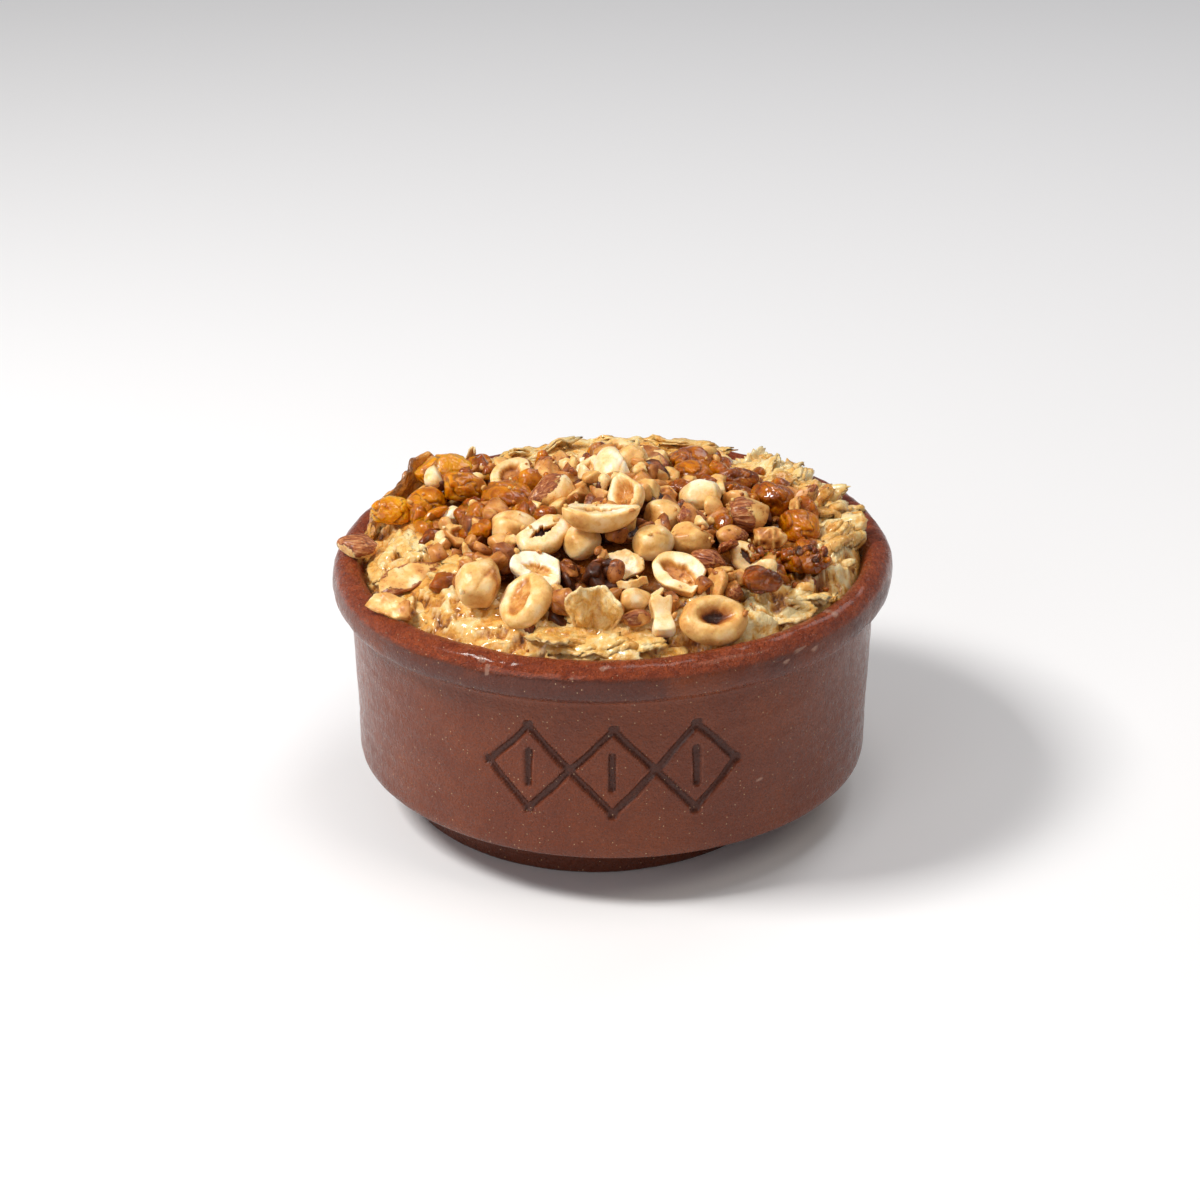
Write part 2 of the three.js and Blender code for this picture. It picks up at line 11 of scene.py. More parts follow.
import bmesh
import bpy
import numpy as np
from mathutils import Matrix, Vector


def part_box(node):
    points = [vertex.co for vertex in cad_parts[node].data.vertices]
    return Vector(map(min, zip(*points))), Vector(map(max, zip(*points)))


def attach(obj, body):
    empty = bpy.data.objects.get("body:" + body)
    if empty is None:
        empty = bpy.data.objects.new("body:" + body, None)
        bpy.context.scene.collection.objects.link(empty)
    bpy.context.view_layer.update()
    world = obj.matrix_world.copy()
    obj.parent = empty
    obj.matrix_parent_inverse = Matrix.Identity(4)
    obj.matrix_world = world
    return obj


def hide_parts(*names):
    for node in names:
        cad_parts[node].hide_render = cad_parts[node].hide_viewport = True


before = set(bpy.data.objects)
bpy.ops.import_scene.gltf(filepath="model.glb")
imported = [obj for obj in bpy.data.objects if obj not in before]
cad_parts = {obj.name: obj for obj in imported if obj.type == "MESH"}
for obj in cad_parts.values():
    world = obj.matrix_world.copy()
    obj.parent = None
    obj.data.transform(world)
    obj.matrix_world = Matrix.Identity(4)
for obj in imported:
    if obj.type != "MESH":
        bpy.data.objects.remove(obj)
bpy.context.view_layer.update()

MM = 0.001

# ---- The bowl's driving dimensions, as in the CAD model ----

RIM_RADIUS = 68.4
RIM_HEIGHT = 65.6
COLLAR = 54.6  # height of the collar's lower edge
WALL_RADIUS = 63.8
WALL_FOOT = 14.0
FLOOR_TOP = 13.0
FOOT_RADIUS = 47.6
FOOT_OFFSET = -4.2
RIM_TILT = 1.1
RIM_WAVE = 0.15
OVALNESS = 0.5
OVAL_ANGLE = 0.45
THREE_LOBES = 0.2
GROOVE_RADIUS = 0.95
LOZENGE_COUNT = 3
LOZENGE_WIDTH = 20.0
BAND_MIDDLE = 36.5
BAND_HALF_HEIGHT = 11.0
DASH_HALF_HEIGHT = 4.0
PUDDING_RADIUS = 60.3
INTO_WALL = 0.7  # how far the pudding reaches past the wall's face

# ---- How finely the smooth pieces are divided, and how many of each small thing there are ----

BAND_ARC = 30  # degrees to each side of the front where the bowl's columns lie closer together
BAND_COLUMNS = 150
BOWL_COLUMNS = 200  # round the rest of the bowl
PUDDING_COLUMNS = 620
HALF_NUT_COLUMNS = 72
SHEETS = 640
FLAKES = 108
PAGES = 88
PULP_LUMPS = 70
CRUMBS = 150

SEEDS = {"sheets": 5, "flakes": 11, "pages": 12, "strip": 3, "heap": 23, "pulp": 41, "crumbs": 31}
FAR = 999.0


# ---- Numbers and noise ----

def smoothstep(value, low, high):
    """0 up to low and 1 from high on, with a smooth rise between. If low is above high, it falls instead."""
    share = np.clip((value - low) / (high - low), 0, 1)
    return share * share * (3 - 2 * share)


def noise(points, size, seed):
    """Smooth noise from -1 to 1 with lumps of about this size, at each of the points."""
    scaled = np.asarray(points, float) / size + 1000
    cell = np.floor(scaled).astype(np.int64)
    share = scaled - cell
    share = share * share * (3 - 2 * share)
    total = np.zeros(len(scaled))
    for corner in product((0, 1), repeat=3):
        at = cell + corner
        # A hash of the corner's cell and the seed, which becomes its value from -1 to 1
        mixed = (at[:, 0] * 73856093) ^ (at[:, 1] * 19349663) ^ (at[:, 2] * 83492791) ^ (seed * 40503 + 977)
        mixed = ((mixed ^ (mixed >> 13)) * 1274126177) & 0xFFFFFFFF
        mixed = ((mixed ^ (mixed >> 15)) * 2246822519) & 0xFFFFFFFF
        weight = np.prod(np.where(corner, share, 1 - share), axis=1)
        total += weight * ((mixed >> 8 & 0xFFFF) / 32767.5 - 1)
    return total


def layered(points, size, seed, layers=3):
    """Noise with finer and weaker noise on top of it."""
    return sum(noise(points, size / 2 ** i, seed + 17 * i) / 2 ** i for i in range(layers))


def ridged(points, size, seed):
    """Noise with sharp ridges at 1 and broad hollows towards -1."""
    return 1 - 2.6 * np.abs(noise(points, size, seed))


def hump(value, middle, reach):
    """1 at the middle, falling off smoothly on both sides."""
    return np.exp(-((value - middle) / reach) ** 2)


def level_direction(bearing):
    """The level unit vector towards this bearing."""
    turn = math.radians(bearing)
    return np.array([math.cos(turn), math.sin(turn), 0])


def on_circle(radius, angle, height):
    """Points at these distances from the dish's axis, angles round it and heights."""
    return np.stack([radius * np.cos(angle), radius * np.sin(angle), height], axis=-1)


def axes_with(first, normal):
    """Axes as rows, with the second square to these two."""
    return np.array([first, np.cross(normal, first), normal])


def turned_to(normal, spin):
    """Axes as rows, with the third along normal and the first turned about it by spin."""
    normal = normal / np.linalg.norm(normal)
    side = np.cross(normal, (0.3, 0.2, 1.0) if abs(normal[2]) < 0.9 else (1.0, 0.2, 0.1))
    side /= np.linalg.norm(side)
    return axes_with(side * math.cos(spin) + np.cross(normal, side) * math.sin(spin), normal)


# ---- Meshes ----
# A shape is (points, faces, masks). A mask is one number for each point, for its material to read. The
# mask own is each point's place in its piece's own axes, with x along the grain.

def facing_out(points, faces):
    """The faces, turned the other way round if they face into the solid."""
    volume = 0
    for group in faces:
        a = points[group[:, 0]]
        for i in range(1, group.shape[1] - 1):
            volume += np.einsum("ij,ij->", a, np.cross(points[group[:, i]], points[group[:, i + 1]]))
    return faces if volume > 0 else [group[:, ::-1] for group in faces]


def joined(shapes):
    """One shape out of many that have the same masks."""
    points, faces, offset = [], [], 0
    for shape_points, shape_faces, _ in shapes:
        points.append(shape_points)
        faces += [group + offset for group in facing_out(shape_points, shape_faces)]
        offset += len(shape_points)
    masks = {name: np.concatenate([shape[2][name] for shape in shapes]) for name in shapes[0][2]}
    return np.concatenate(points), faces, masks


def new_mesh(name, points, faces):
    """A mesh of these points, in millimetres, and these groups of faces."""
    sizes = np.concatenate([np.full(len(group), group.shape[1]) for group in faces])
    corners = np.concatenate([group.ravel() for group in faces])
    mesh = bpy.data.meshes.new(name)
    mesh.vertices.add(len(points))
    mesh.vertices.foreach_set("co", (points * MM).astype(np.float32).ravel())
    mesh.loops.add(len(corners))
    mesh.loops.foreach_set("vertex_index", corners.astype(np.int32))
    mesh.polygons.add(len(sizes))
    mesh.polygons.foreach_set("loop_start", (np.cumsum(sizes) - sizes).astype(np.int32))
    return mesh


def write_mask(mesh, name, values):
    """Stores a mask on the mesh's points: own as a vector, and any other as a number from 0 to 1."""
    if name == "own":
        layer = mesh.attributes.new(name, "FLOAT_VECTOR", "POINT")
        layer.data.foreach_set("vector", values.astype(np.float32).ravel())
    else:
        layer = mesh.attributes.new(name, "FLOAT", "POINT")
        layer.data.foreach_set("value", np.clip(values, 0, 1).astype(np.float32))


def mesh_piece(name, shape, material, nodes=()):
    """Makes a smooth piece in the scene that rides on the dish and stands for these CAD nodes."""
    points, faces, masks = shape
    mesh = new_mesh(name, points, facing_out(points, faces))
    for mask_name, values in masks.items():
        write_mask(mesh, mask_name, values)
    mesh.update(calc_edges=True)
    mesh.shade_smooth()
    mesh.materials.append(material)
    piece = bpy.data.objects.new(name, mesh)
    bpy.context.scene.collection.objects.link(piece)
    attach(piece, "root")
    if nodes:
        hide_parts(*nodes)


def lathe_faces(rows, columns):
    """Faces of a closed surface: a pole point, rows rings of columns points each, and a pole point."""
    ring = np.arange(rows * columns).reshape(rows, columns) + 1
    after = np.roll(ring, -1, axis=1)
    quads = np.stack([ring[:-1], after[:-1], after[1:], ring[1:]], -1).reshape(-1, 4)
    first = np.stack([np.zeros(columns, int), after[0], ring[0]], -1)
    last = np.stack([np.full(columns, rows * columns + 1), ring[-1], after[-1]], -1)
    return [quads, first, last]


def ball(subdivisions):
    """Points and triangles of a unit sphere with even triangles."""
    made = bmesh.new()
    bmesh.ops.create_icosphere(made, subdivisions=subdivisions, radius=1)
    points = np.array([vert.co for vert in made.verts])
    faces = np.array([[vert.index for vert in face.verts] for face in made.faces])
    made.free()
    return points, [faces]


FINE_BALL = ball(5)
CHOPPED_BALL = ball(4)
BIT_BALL = ball(3)
CRUMB_BALL = ball(2)


def curve_through(stops, spacing):
    """Points about this far apart on a smooth curve through the stops."""
    stops = np.asarray(stops, float)
    padded = np.vstack([2 * stops[0] - stops[1], stops, 2 * stops[-1] - stops[-2]])
    out = []
    for a, b, c, d in zip(padded, padded[1:], padded[2:], padded[3:]):
        count = max(1, round(np.linalg.norm(c - b) / spacing))
        t = (np.arange(count) / count)[:, None]
        bend = (2 * a - 5 * b + 4 * c - d) * t ** 2 + (3 * b - a - 3 * c + d) * t ** 3
        out.append((2 * b + (c - a) * t + bend) / 2)
    return np.vstack([*out, stops[-1:]])


# ---- The bowl ----

def thrown_by_hand(points):
    """The points with the oval and tilt that the CAD bowl's rim has."""
    upper = smoothstep(points[:, 2], WALL_FOOT, RIM_HEIGHT)
    angle = np.arctan2(points[:, 1], points[:, 0])
    radius = np.hypot(points[:, 0], points[:, 1])
    oval = OVALNESS * np.cos(2 * (angle - OVAL_ANGLE))
    swell = upper * (oval + THREE_LOBES * np.cos(3 * angle + 1))
    wider = np.where(radius > WALL_RADIUS / 2, radius + swell, radius)
    tilt = RIM_TILT * points[:, 0] / RIM_RADIUS + RIM_WAVE * np.sin(3 * angle)
    return on_circle(wider, angle, points[:, 2] + upper * tilt)


def bowl_profile():
    """[radius, height] from the middle of the base round the outside and inside to the floor."""
    foot, wall, rim, top = FOOT_RADIUS, WALL_RADIUS, RIM_RADIUS, RIM_HEIGHT
    base = [[16, 0], [32, 0], [foot - 1.4, 0]]
    runs = (
        # The foot, and the underside beside it
        ([[foot - 0.6, 0.05], [foot, 0.6], [foot + 0.5, 8.4]], 0.8),
        ([[foot + 1.4, 9.6], [wall - 5, 12], [wall - 2.2, 12.8]], 0.9),
        # The wall's lower corner and the wall
        ([[wall - 1.5, 13], [wall - 0.6, 13.6], [wall - 0.25, 14.8]], 0.35),
        ([[wall - 0.2, 15.8], [wall - 0.2, 24]], 0.7),
        ([[wall - 0.2, 24.4], [wall, 41], [wall + 0.2, COLLAR - 1]], 0.55),
        # The collar, over the rim and down to the pudding
        ([[wall + 0.4, COLLAR], [wall + 2, COLLAR + 0.9], [rim - 0.6, COLLAR + 2.4], [rim, COLLAR + 4.4],
          [rim - 0.1, COLLAR + 6.6], [rim - 0.7, top - 2.3], [rim - 2, top - 0.7], [rim - 4, top],
          [rim - 6.2, top - 0.8], [PUDDING_RADIUS + 0.5, top - 3.4], [wall - 5.4, top - 8]], 0.5),
    )
    inside = [[57.5, 50], [56.8, 34], [56.6, 22], [52, 15.4], [45, 13.4], [25, FLOOR_TOP]]
    return np.vstack([base, *(curve_through(stops, spacing) for stops, spacing in runs), inside])


def band_lines():
    """The band's lines as (along, height) of both ends: a row of lozenges with a short dash in each."""
    lines = []
    for i in range(LOZENGE_COUNT):
        left = (i - LOZENGE_COUNT / 2) * LOZENGE_WIDTH
        middle, right = left + LOZENGE_WIDTH / 2, left + LOZENGE_WIDTH
        for peak in (BAND_MIDDLE - BAND_HALF_HEIGHT, BAND_MIDDLE + BAND_HALF_HEIGHT):
            lines.append((left, BAND_MIDDLE, middle, peak))
            lines.append((middle, peak, right, BAND_MIDDLE))
        lines.append((middle, BAND_MIDDLE - DASH_HALF_HEIGHT, middle, BAND_MIDDLE + DASH_HALF_HEIGHT))
    return lines


def band_distance(along, height):
    """How far each point of the wall is from the nearest line of the incised band."""
    nearest = np.full(len(along), FAR)
    for x0, y0, x1, y1 in band_lines():
        share = ((along - x0) * (x1 - x0) + (height - y0) * (y1 - y0)) / ((x1 - x0) ** 2 + (y1 - y0) ** 2)
        share = np.clip(share, -0.04, 1.04)
        away = np.hypot(along - x0 - share * (x1 - x0), height - y0 - share * (y1 - y0))
        nearest = np.minimum(nearest, away)
    return nearest


def incised_band(along, radius, height):
    """How deep in a groove each point is, and how high on the burr beside it, from 0 to 1."""
    on_wall = (radius > WALL_RADIUS - 1) & (height > 20) & (height < 52)
    wander = np.column_stack([along, height, height * 0])
    away = band_distance(along + 0.25 * noise(wander, 6, 3), height + 0.25 * noise(wander, 6, 4))
    away = np.where(on_wall, away, FAR)
    width = GROOVE_RADIUS * (1 + 0.12 * noise(wander, 5, 5))
    groove = 1 - smoothstep(away, 0.62 * width, 1.12 * width)
    burr = hump(away / width, 1.35, 0.22) * (0.6 + 0.6 * noise(wander, 2.2, 6))
    return groove, burr


# Dried milk on the rim and wall: bearing, height, and half sizes along and up.
STAINS = (
    (-117, 64.6, 1.6, 0.6), (-115, 62.6, 0.7, 1.5), (-98, 62.6, 1.0, 0.4), (-92, 64.8, 0.9, 0.4),
    (-50, 62.2, 1.6, 0.6), (-46.5, 61, 0.9, 0.5), (-54, 60.4, 0.9, 0.4), (-38, 65.3, 1.0, 0.5),
    (-59, 31, 0.7, 0.5), (-57, 29, 0.5, 0.4), (-58, 26.6, 0.4, 0.4), (-53, 30, 0.4, 0.6),
)


def milk_stains(angle, height, points):
    """1 inside a stain and 0 outside, with ragged edges."""
    ragged = 0.45 * layered(points, 1.3, 16)
    total = np.zeros(len(angle))
    for bearing, level, along, up in STAINS:
        sideways = (angle - math.radians(bearing)) * RIM_RADIUS / along
        away = np.hypot(sideways, (height - level) / up)
        total = np.maximum(total, 1 - smoothstep(away + ragged, 0.6, 1.1))
    return total


def half_turn(angle):
    """The angles, brought to between -pi and pi."""
    return (angle + math.pi) % (2 * math.pi) - math.pi


def wall_push(flat, collar, groove, burr):
    """How far the outside is pushed out by its throwing lines, its lumps and the band."""
    height = flat[:, 2]
    turning = np.column_stack([height * 0, height * 0, height + 0.6 * noise(flat, 25, 8)])
    push = 0.22 * noise(flat, 22, 1) + 0.05 * layered(flat, 5, 2)
    push += 0.05 * noise(turning, 1.6, 9) * (1 - collar)
    push += collar * (0.2 * noise(flat, 9, 10) + 0.1 * layered(flat, 3, 11))
    return push + (0.18 * burr - 0.9 * groove * GROOVE_RADIUS)


def rim_lift(flat, top, collar):
    """How far the rim's top and the collar are raised by their lumps."""
    lift = top * (0.22 * noise(flat, 11, 12) + 0.14 * layered(flat, 2.6, 13))
    return lift - (1 - top) * collar * 0.25 * noise(flat, 14, 14)


def pooled_glaze_and_shade(flat, along):
    """How dark the collar is: glaze pooled in patches, and painted shade under the rim's overhang."""
    left, right, gap = hump(along, -34, 14), hump(along, -6, 13), hump(along, -22, 5)
    return 0.5 + 0.5 * layered(flat, 16, 15) + 0.35 * left + (0.35 * right - 0.25 * gap)


def bowl_shape():
    """The bowl, turned from its profile, with finer columns where the band is."""
    profile = bowl_profile()
    front = math.radians(BAND_ARC)
    fine = np.linspace(-front, front, BAND_COLUMNS, endpoint=False)
    coarse = np.linspace(front, 2 * math.pi - front, BOWL_COLUMNS, endpoint=False)
    angles = np.concatenate([fine, coarse]) - math.pi / 2
    radius, height = (np.repeat(profile[:, i], len(angles)) for i in (0, 1))
    angle = np.tile(angles, len(profile))
    flat = on_circle(radius, angle, height)

    along = half_turn(angle + math.pi / 2) * WALL_RADIUS
    groove, burr = incised_band(along, radius, height)
    outside = smoothstep(radius, FOOT_RADIUS - 3, FOOT_RADIUS)
    top = smoothstep(height, RIM_HEIGHT - 4.5, RIM_HEIGHT - 1.5)
    collar = smoothstep(height, COLLAR - 0.5, COLLAR + 2)
    wider = radius + outside * wall_push(flat, collar, groove, burr)
    raised = height + outside * rim_lift(flat, top, collar)
    points = thrown_by_hand(on_circle(wider, angle, raised))
    points[:, 0] += FOOT_OFFSET * (1 - smoothstep(radius + height, 57, 70))
    masks = {
        "groove": groove,
        # burr also carries a painted highlight in the glaze
        "burr": burr,
        "top": top,
        # collar: pooled glaze, and painted shade under the rim's overhang
        "collar": collar * (1 - top) * pooled_glaze_and_shade(flat, along),
        # under: where painted shade darkens the foot and underside
        "under": 1 - smoothstep(height, 12.6, 14.4),
        "milk": milk_stains(half_turn(angle), height, flat) * outside,
    }
    masks = {name: np.concatenate([[0], values, [0]]) for name, values in masks.items()}
    points = np.vstack([[[FOOT_OFFSET, 0, 0]], points, [[0, 0, FLOOR_TOP]]])
    return points, lathe_faces(len(profile), len(angles)), masks


# ---- Materials ----

def colour(code):
    """Linear red, green, blue and alpha of a screen colour such as "c08040"."""
    parts = [int(code[i:i + 2], 16) / 255 for i in (0, 2, 4)]
    return (*[p / 12.92 if p <= 0.04045 else ((p + 0.055) / 1.055) ** 2.4 for p in parts], 1)


def new_material(name, roughness, **settings):
    """A material with these constants on its shader's own sockets."""
    material = bpy.data.materials.new(name)
    material.use_nodes = True
    shader = material.node_tree.nodes["Principled BSDF"]
    shader.inputs["Roughness"].default_value = roughness
    for socket, value in settings.items():
        shader.inputs[socket.replace("_", " ")].default_value = value
    return material, material.node_tree, shader


def node(tree, kind, inputs, **settings):
    """A new node with these settings. Each input is a constant, or another node's output to link."""
    made = tree.nodes.new(kind)
    for name, value in settings.items():
        setattr(made, name, value)
    for socket, value in inputs.items():
        if isinstance(value, bpy.types.NodeSocket):
            tree.links.new(value, made.inputs[socket])
        else:
            made.inputs[socket].default_value = value
    return made


def mask(tree, name):
    """The value of a mask of the mesh."""
    return node(tree, "ShaderNodeAttribute", {}, attribute_name=name).outputs["Fac"]


def place(tree):
    """Where on the object a point is, in millimetres."""
    metres = node(tree, "ShaderNodeTexCoord", {}).outputs["Object"]
    scaled = node(tree, "ShaderNodeVectorMath", {0: metres, "Scale": 1 / MM}, operation="SCALE")
    return scaled.outputs[0]


def along_grain(tree, squeeze):
    """A point's place in its piece's own axes, with its distance along the grain squeezed."""
    own = node(tree, "ShaderNodeAttribute", {}, attribute_name="own").outputs["Vector"]
    return node(tree, "ShaderNodeVectorMath", {0: own, 1: (squeeze, 1, 1)}, operation="MULTIPLY").outputs[0]


def grain(tree, size, detail, rough=0.55, distortion=0.0, at=None):
    """Noise from 0 to 1 with lumps of about this many millimetres."""
    inputs = {
        "Vector": at or place(tree), "Scale": 1 / size, "Detail": detail, "Roughness": rough,
        "Distortion": distortion,
    }
    return node(tree, "ShaderNodeTexNoise", inputs).outputs["Fac"]


def between(tree, value, low, high, to_low, to_high):
    """The value brought from one range into another, with smooth ends."""
    inputs = {"Value": value, "From Min": low, "From Max": high, "To Min": to_low, "To Max": to_high}
    return node(tree, "ShaderNodeMapRange", inputs, interpolation_type="SMOOTHSTEP").outputs["Result"]


def patches(tree, lumps, low, high, to_low=0.0, to_high=1.0):
    """Noise brought between two values. lumps is the noise's size, detail, roughness and distortion."""
    return between(tree, grain(tree, *lumps), low, high, to_low, to_high)


def shown(tree, name, low, high, most):
    """How much of a mask shows: nothing up to low, and this much at most from high on."""
    return between(tree, mask(tree, name), low, high, 0.0, most)


def calculated(tree, operation, first, second):
    """The result of a calculation with two values, where each is a constant or a node's output."""
    return node(tree, "ShaderNodeMath", {0: first, 1: second}, operation=operation).outputs[0]


def times(tree, first, second):
    return calculated(tree, "MULTIPLY", first, second)


def plus(tree, first, second):
    return calculated(tree, "ADD", first, second)


def mix(tree, share, first, second):
    """The first colour with this share of the second."""
    return node(tree, "ShaderNodeMix", {"Factor": share, 6: first, 7: second}, data_type="RGBA").outputs[2]


def over(tree, body, share, code):
    """The colour body with a share of another colour laid over it."""
    return mix(tree, share, body, colour(code))


def ramp(tree, value, stops):
    """The colour for a value from 0 to 1, from (value, colour code) stops."""
    made = node(tree, "ShaderNodeValToRGB", {"Fac": value})
    elements = made.color_ramp.elements
    for _ in stops[2:]:
        elements.new(0.5)
    for element, (position, code) in zip(elements, stops):
        element.position = position
        element.color = colour(code)
    return made.outputs["Color"]


def spots(tree, spacing, reach, share):
    """Round dots of this reach in a share of the cells of about this spacing."""
    made = node(tree, "ShaderNodeTexVoronoi", {"Vector": place(tree), "Scale": 1 / spacing})
    near = between(tree, made.outputs["Distance"], 0.5 * reach / spacing, reach / spacing, 1, 0)
    red = node(tree, "ShaderNodeSeparateColor", {"Color": made.outputs["Color"]}).outputs["Red"]
    return times(tree, near, calculated(tree, "GREATER_THAN", red, 1 - share))


def bump(tree, shader, *layers):
    """Fine relief: each layer is a height from 0 to 1 and its depth in millimetres."""
    normal = None
    for height, depth in layers:
        inputs = {"Height": height, "Distance": depth * MM, "Strength": 1.0}
        if normal:
            inputs["Normal"] = normal
        normal = node(tree, "ShaderNodeBump", inputs).outputs["Normal"]
    tree.links.new(normal, shader.inputs["Normal"])


def glaze_material():
    """Thin brown glaze over red clay: speckled, with painted glints; dark where it pools, with painted shade
    under the rim and on the foot; worn to orange on the rim, with painted highlights on the band's burrs.
    """
    material, tree, shader = new_material(
        "glazed_clay", 0.34, Coat_Weight=0.3, Coat_Roughness=0.12, Specular_IOR_Level=0.22)
    body = mix(tree, patches(tree, (18, 4, 0.6), 0.3, 0.7), colour("6d2d0e"), colour("7d3812"))
    body = over(tree, body, times(tree, patches(tree, (0.8, 4, 0.7), 0.35, 0.65), 0.35), "57260f")
    worn = mix(tree, patches(tree, (3.4, 6, 0.7, 0.8), 0.36, 0.66), colour("8b391b"), colour("ad4f27"))
    body = mix(tree, shown(tree, "top", 0.1, 0.8, 0.95), body, worn)
    # Dark where the glaze pools along the collar, with painted shade under the rim's overhang
    pooled = plus(tree, mask(tree, "collar"), times(tree, grain(tree, 2.2, 4), 0.5))
    body = over(tree, body, between(tree, pooled, 0.5, 1.1, 0.0, 0.7), "4a221a")
    body = over(tree, body, shown(tree, "groove", 0.05, 0.7, 0.66), "361810")
    # Painted highlight on the burrs beside the grooves
    body = over(tree, body, shown(tree, "burr", 0.3, 1.0, 0.4), "a8664c")
    # Painted shade on the foot and underside
    body = over(tree, body, times(tree, mask(tree, "under"), 0.45), "3d1e16")
    body = over(tree, body, times(tree, spots(tree, 1.1, 0.18, 0.5), 0.5), "2a120c")
    # Pale specks: painted glints of light on the glaze
    body = over(tree, body, times(tree, spots(tree, 1.0, 0.17, 0.22), 0.75), "e6c296")
    body = over(tree, body, shown(tree, "milk", 0.2, 0.7, 0.5), "c79c86")
    tree.links.new(body, shader.inputs["Base Color"])
    tree.links.new(patches(tree, (2.4, 4, 0.7), 0.35, 0.65, 0.18, 0.42), shader.inputs["Roughness"])
    pits = times(tree, grain(tree, 1.3, 4, 0.7), plus(tree, mask(tree, "top"), 0.25))
    bump(tree, shader, (grain(tree, 4, 4, 0.6), 0.5), (pits, 2.0), (grain(tree, 0.6, 3), 0.35))
    return material


PASTRY_STOPS = ((0.0, "ffe6ae"), (0.25, "facb7a"), (0.5, "eaa848"), (0.75, "c27a2c"), (1.0, "784414"))


def pastry_material():
    """Thin layers of pastry soaked in milk and syrup, pale at the torn edges and golden on the folds, with
    painted shade in its hollows, past the sheets' edges and under the heap, and painted light on its crests.
    """
    material, tree, shader = new_material(
        "soaked_pastry", 0.3, Subsurface_Weight=0.25, Subsurface_Scale=0.0006, Coat_Weight=0.7,
        Subsurface_Radius=(1.0, 0.8, 0.5), Coat_Roughness=0.1, Specular_IOR_Level=0.3)
    tone = plus(tree, mask(tree, "tone"), patches(tree, (3.0, 5, 0.65, 0.6), 0.3, 0.7, -0.24, 0.24))
    body = ramp(tree, tone, PASTRY_STOPS)
    body = over(tree, body, patches(tree, (0.8, 5, 0.7, 1.4), 0.5, 0.7, 0.0, 0.25), "cc8c3c")
    body = over(tree, body, patches(tree, (1.6, 5, 0.7, 0.8), 0.57, 0.7, 0.0, 0.4), "ffe8ba")
    # Darker where syrup soaks it; under the heap the same darkening is painted shade between the nuts
    body = over(tree, body, shown(tree, "soak_and_shade", 0.1, 0.9, 0.9), "8a480e")
    body = over(tree, body, shown(tree, "edge", 0.3, 1.0, 0.6), "ffe8b6")
    tree.links.new(body, shader.inputs["Base Color"])
    gloss = patches(tree, (1.6, 4, 0.7), 0.35, 0.65, 0.14, 0.42)
    wet = times(tree, mask(tree, "soak_and_shade"), 0.12)
    tree.links.new(calculated(tree, "SUBTRACT", gloss, wet), shader.inputs["Roughness"])
    bump(tree, shader, (grain(tree, 1.6, 5, 0.7, 0.6), 0.6), (grain(tree, 0.5, 3, 0.6), 0.3))
    return material


ROAST_STOPS = (
    (0.0, "fff2dc"), (0.15, "fbdca8"), (0.3, "ecbc70"), (0.5, "c9843c"), (0.7, "8e4a1a"), (0.88, "461e0a"),
    (1.0, "34150a"),
)
SKIN_STOPS = ((0.32, "6a2c12"), (0.46, "96491f"), (0.58, "b9703c"), (0.7, "e2b180"))


def nut_material(name, roughness, fine):
    """Nut flesh whose colour goes from cream to dark brown by the mask roast, under ribbed skin by skin."""
    material, tree, shader = new_material(
        name, roughness, Subsurface_Weight=0.35, Subsurface_Scale=0.0018, Coat_Weight=0.22,
        Subsurface_Radius=(1.0, 0.55, 0.25), Coat_Roughness=0.2, Specular_IOR_Level=0.35)
    clouds = patches(tree, (4.0, 4, 0.55), 0.3, 0.7, -0.09, 0.11)
    specks = patches(tree, (0.9, 4, 0.7), 0.52, 0.75, 0.0, fine)
    body = ramp(tree, plus(tree, mask(tree, "roast"), plus(tree, clouds, specks)), ROAST_STOPS)
    fibres = grain(tree, 0.55, 3, 0.6, 0.4, along_grain(tree, 0.16))
    patchy = plus(tree, mask(tree, "skin"), patches(tree, (0.9, 4, 0.7), 0.3, 0.7, -0.3, 0.3))
    skin = between(tree, patchy, 0.42, 0.6, 0.0, 0.97)
    body = mix(tree, skin, body, ramp(tree, fibres, SKIN_STOPS))
    tree.links.new(body, shader.inputs["Base Color"])
    gloss = patches(tree, (1.8, 4, 0.7), 0.35, 0.65, roughness - 0.1, roughness + 0.14)
    tree.links.new(gloss, shader.inputs["Roughness"])
    ribs = (times(tree, fibres, skin), 0.7)
    bump(tree, shader, (grain(tree, 2.2, 5, 0.65), 0.3), ribs, (grain(tree, 0.6, 3), 0.05))
    return material


SULTANA_STOPS = ((0.0, "f8ac14"), (0.3, "dc8600"), (0.6, "a85600"), (0.85, "703000"), (1.0, "421a00"))


def sultana_material():
    """Plumped sultanas in syrup: clear amber flesh, darker in the folds, wet all over."""
    material, tree, shader = new_material(
        "sultana", 0.2, Subsurface_Weight=0.7, Subsurface_Scale=0.003, Transmission_Weight=0.15,
        Subsurface_Radius=(1.0, 0.42, 0.05), Coat_Weight=0.7, Coat_Roughness=0.03, Specular_IOR_Level=0.2,
        IOR=1.38)
    tone = plus(tree, mask(tree, "tone"), patches(tree, (3.5, 3, 0.5), 0.3, 0.7, -0.16, 0.16))
    body = ramp(tree, tone, SULTANA_STOPS)
    body = over(tree, body, shown(tree, "crease", 0.3, 1.0, 0.6), "6e2c00")
    body = over(tree, body, patches(tree, (0.7, 3, 0.7), 0.66, 0.76, 0.0, 0.5), "4a1d08")
    tree.links.new(body, shader.inputs["Base Color"])
    bump(tree, shader, (grain(tree, 2.0, 4, 0.6, 0.5), 0.5), (grain(tree, 0.7, 3, 0.6), 0.25))
    return material


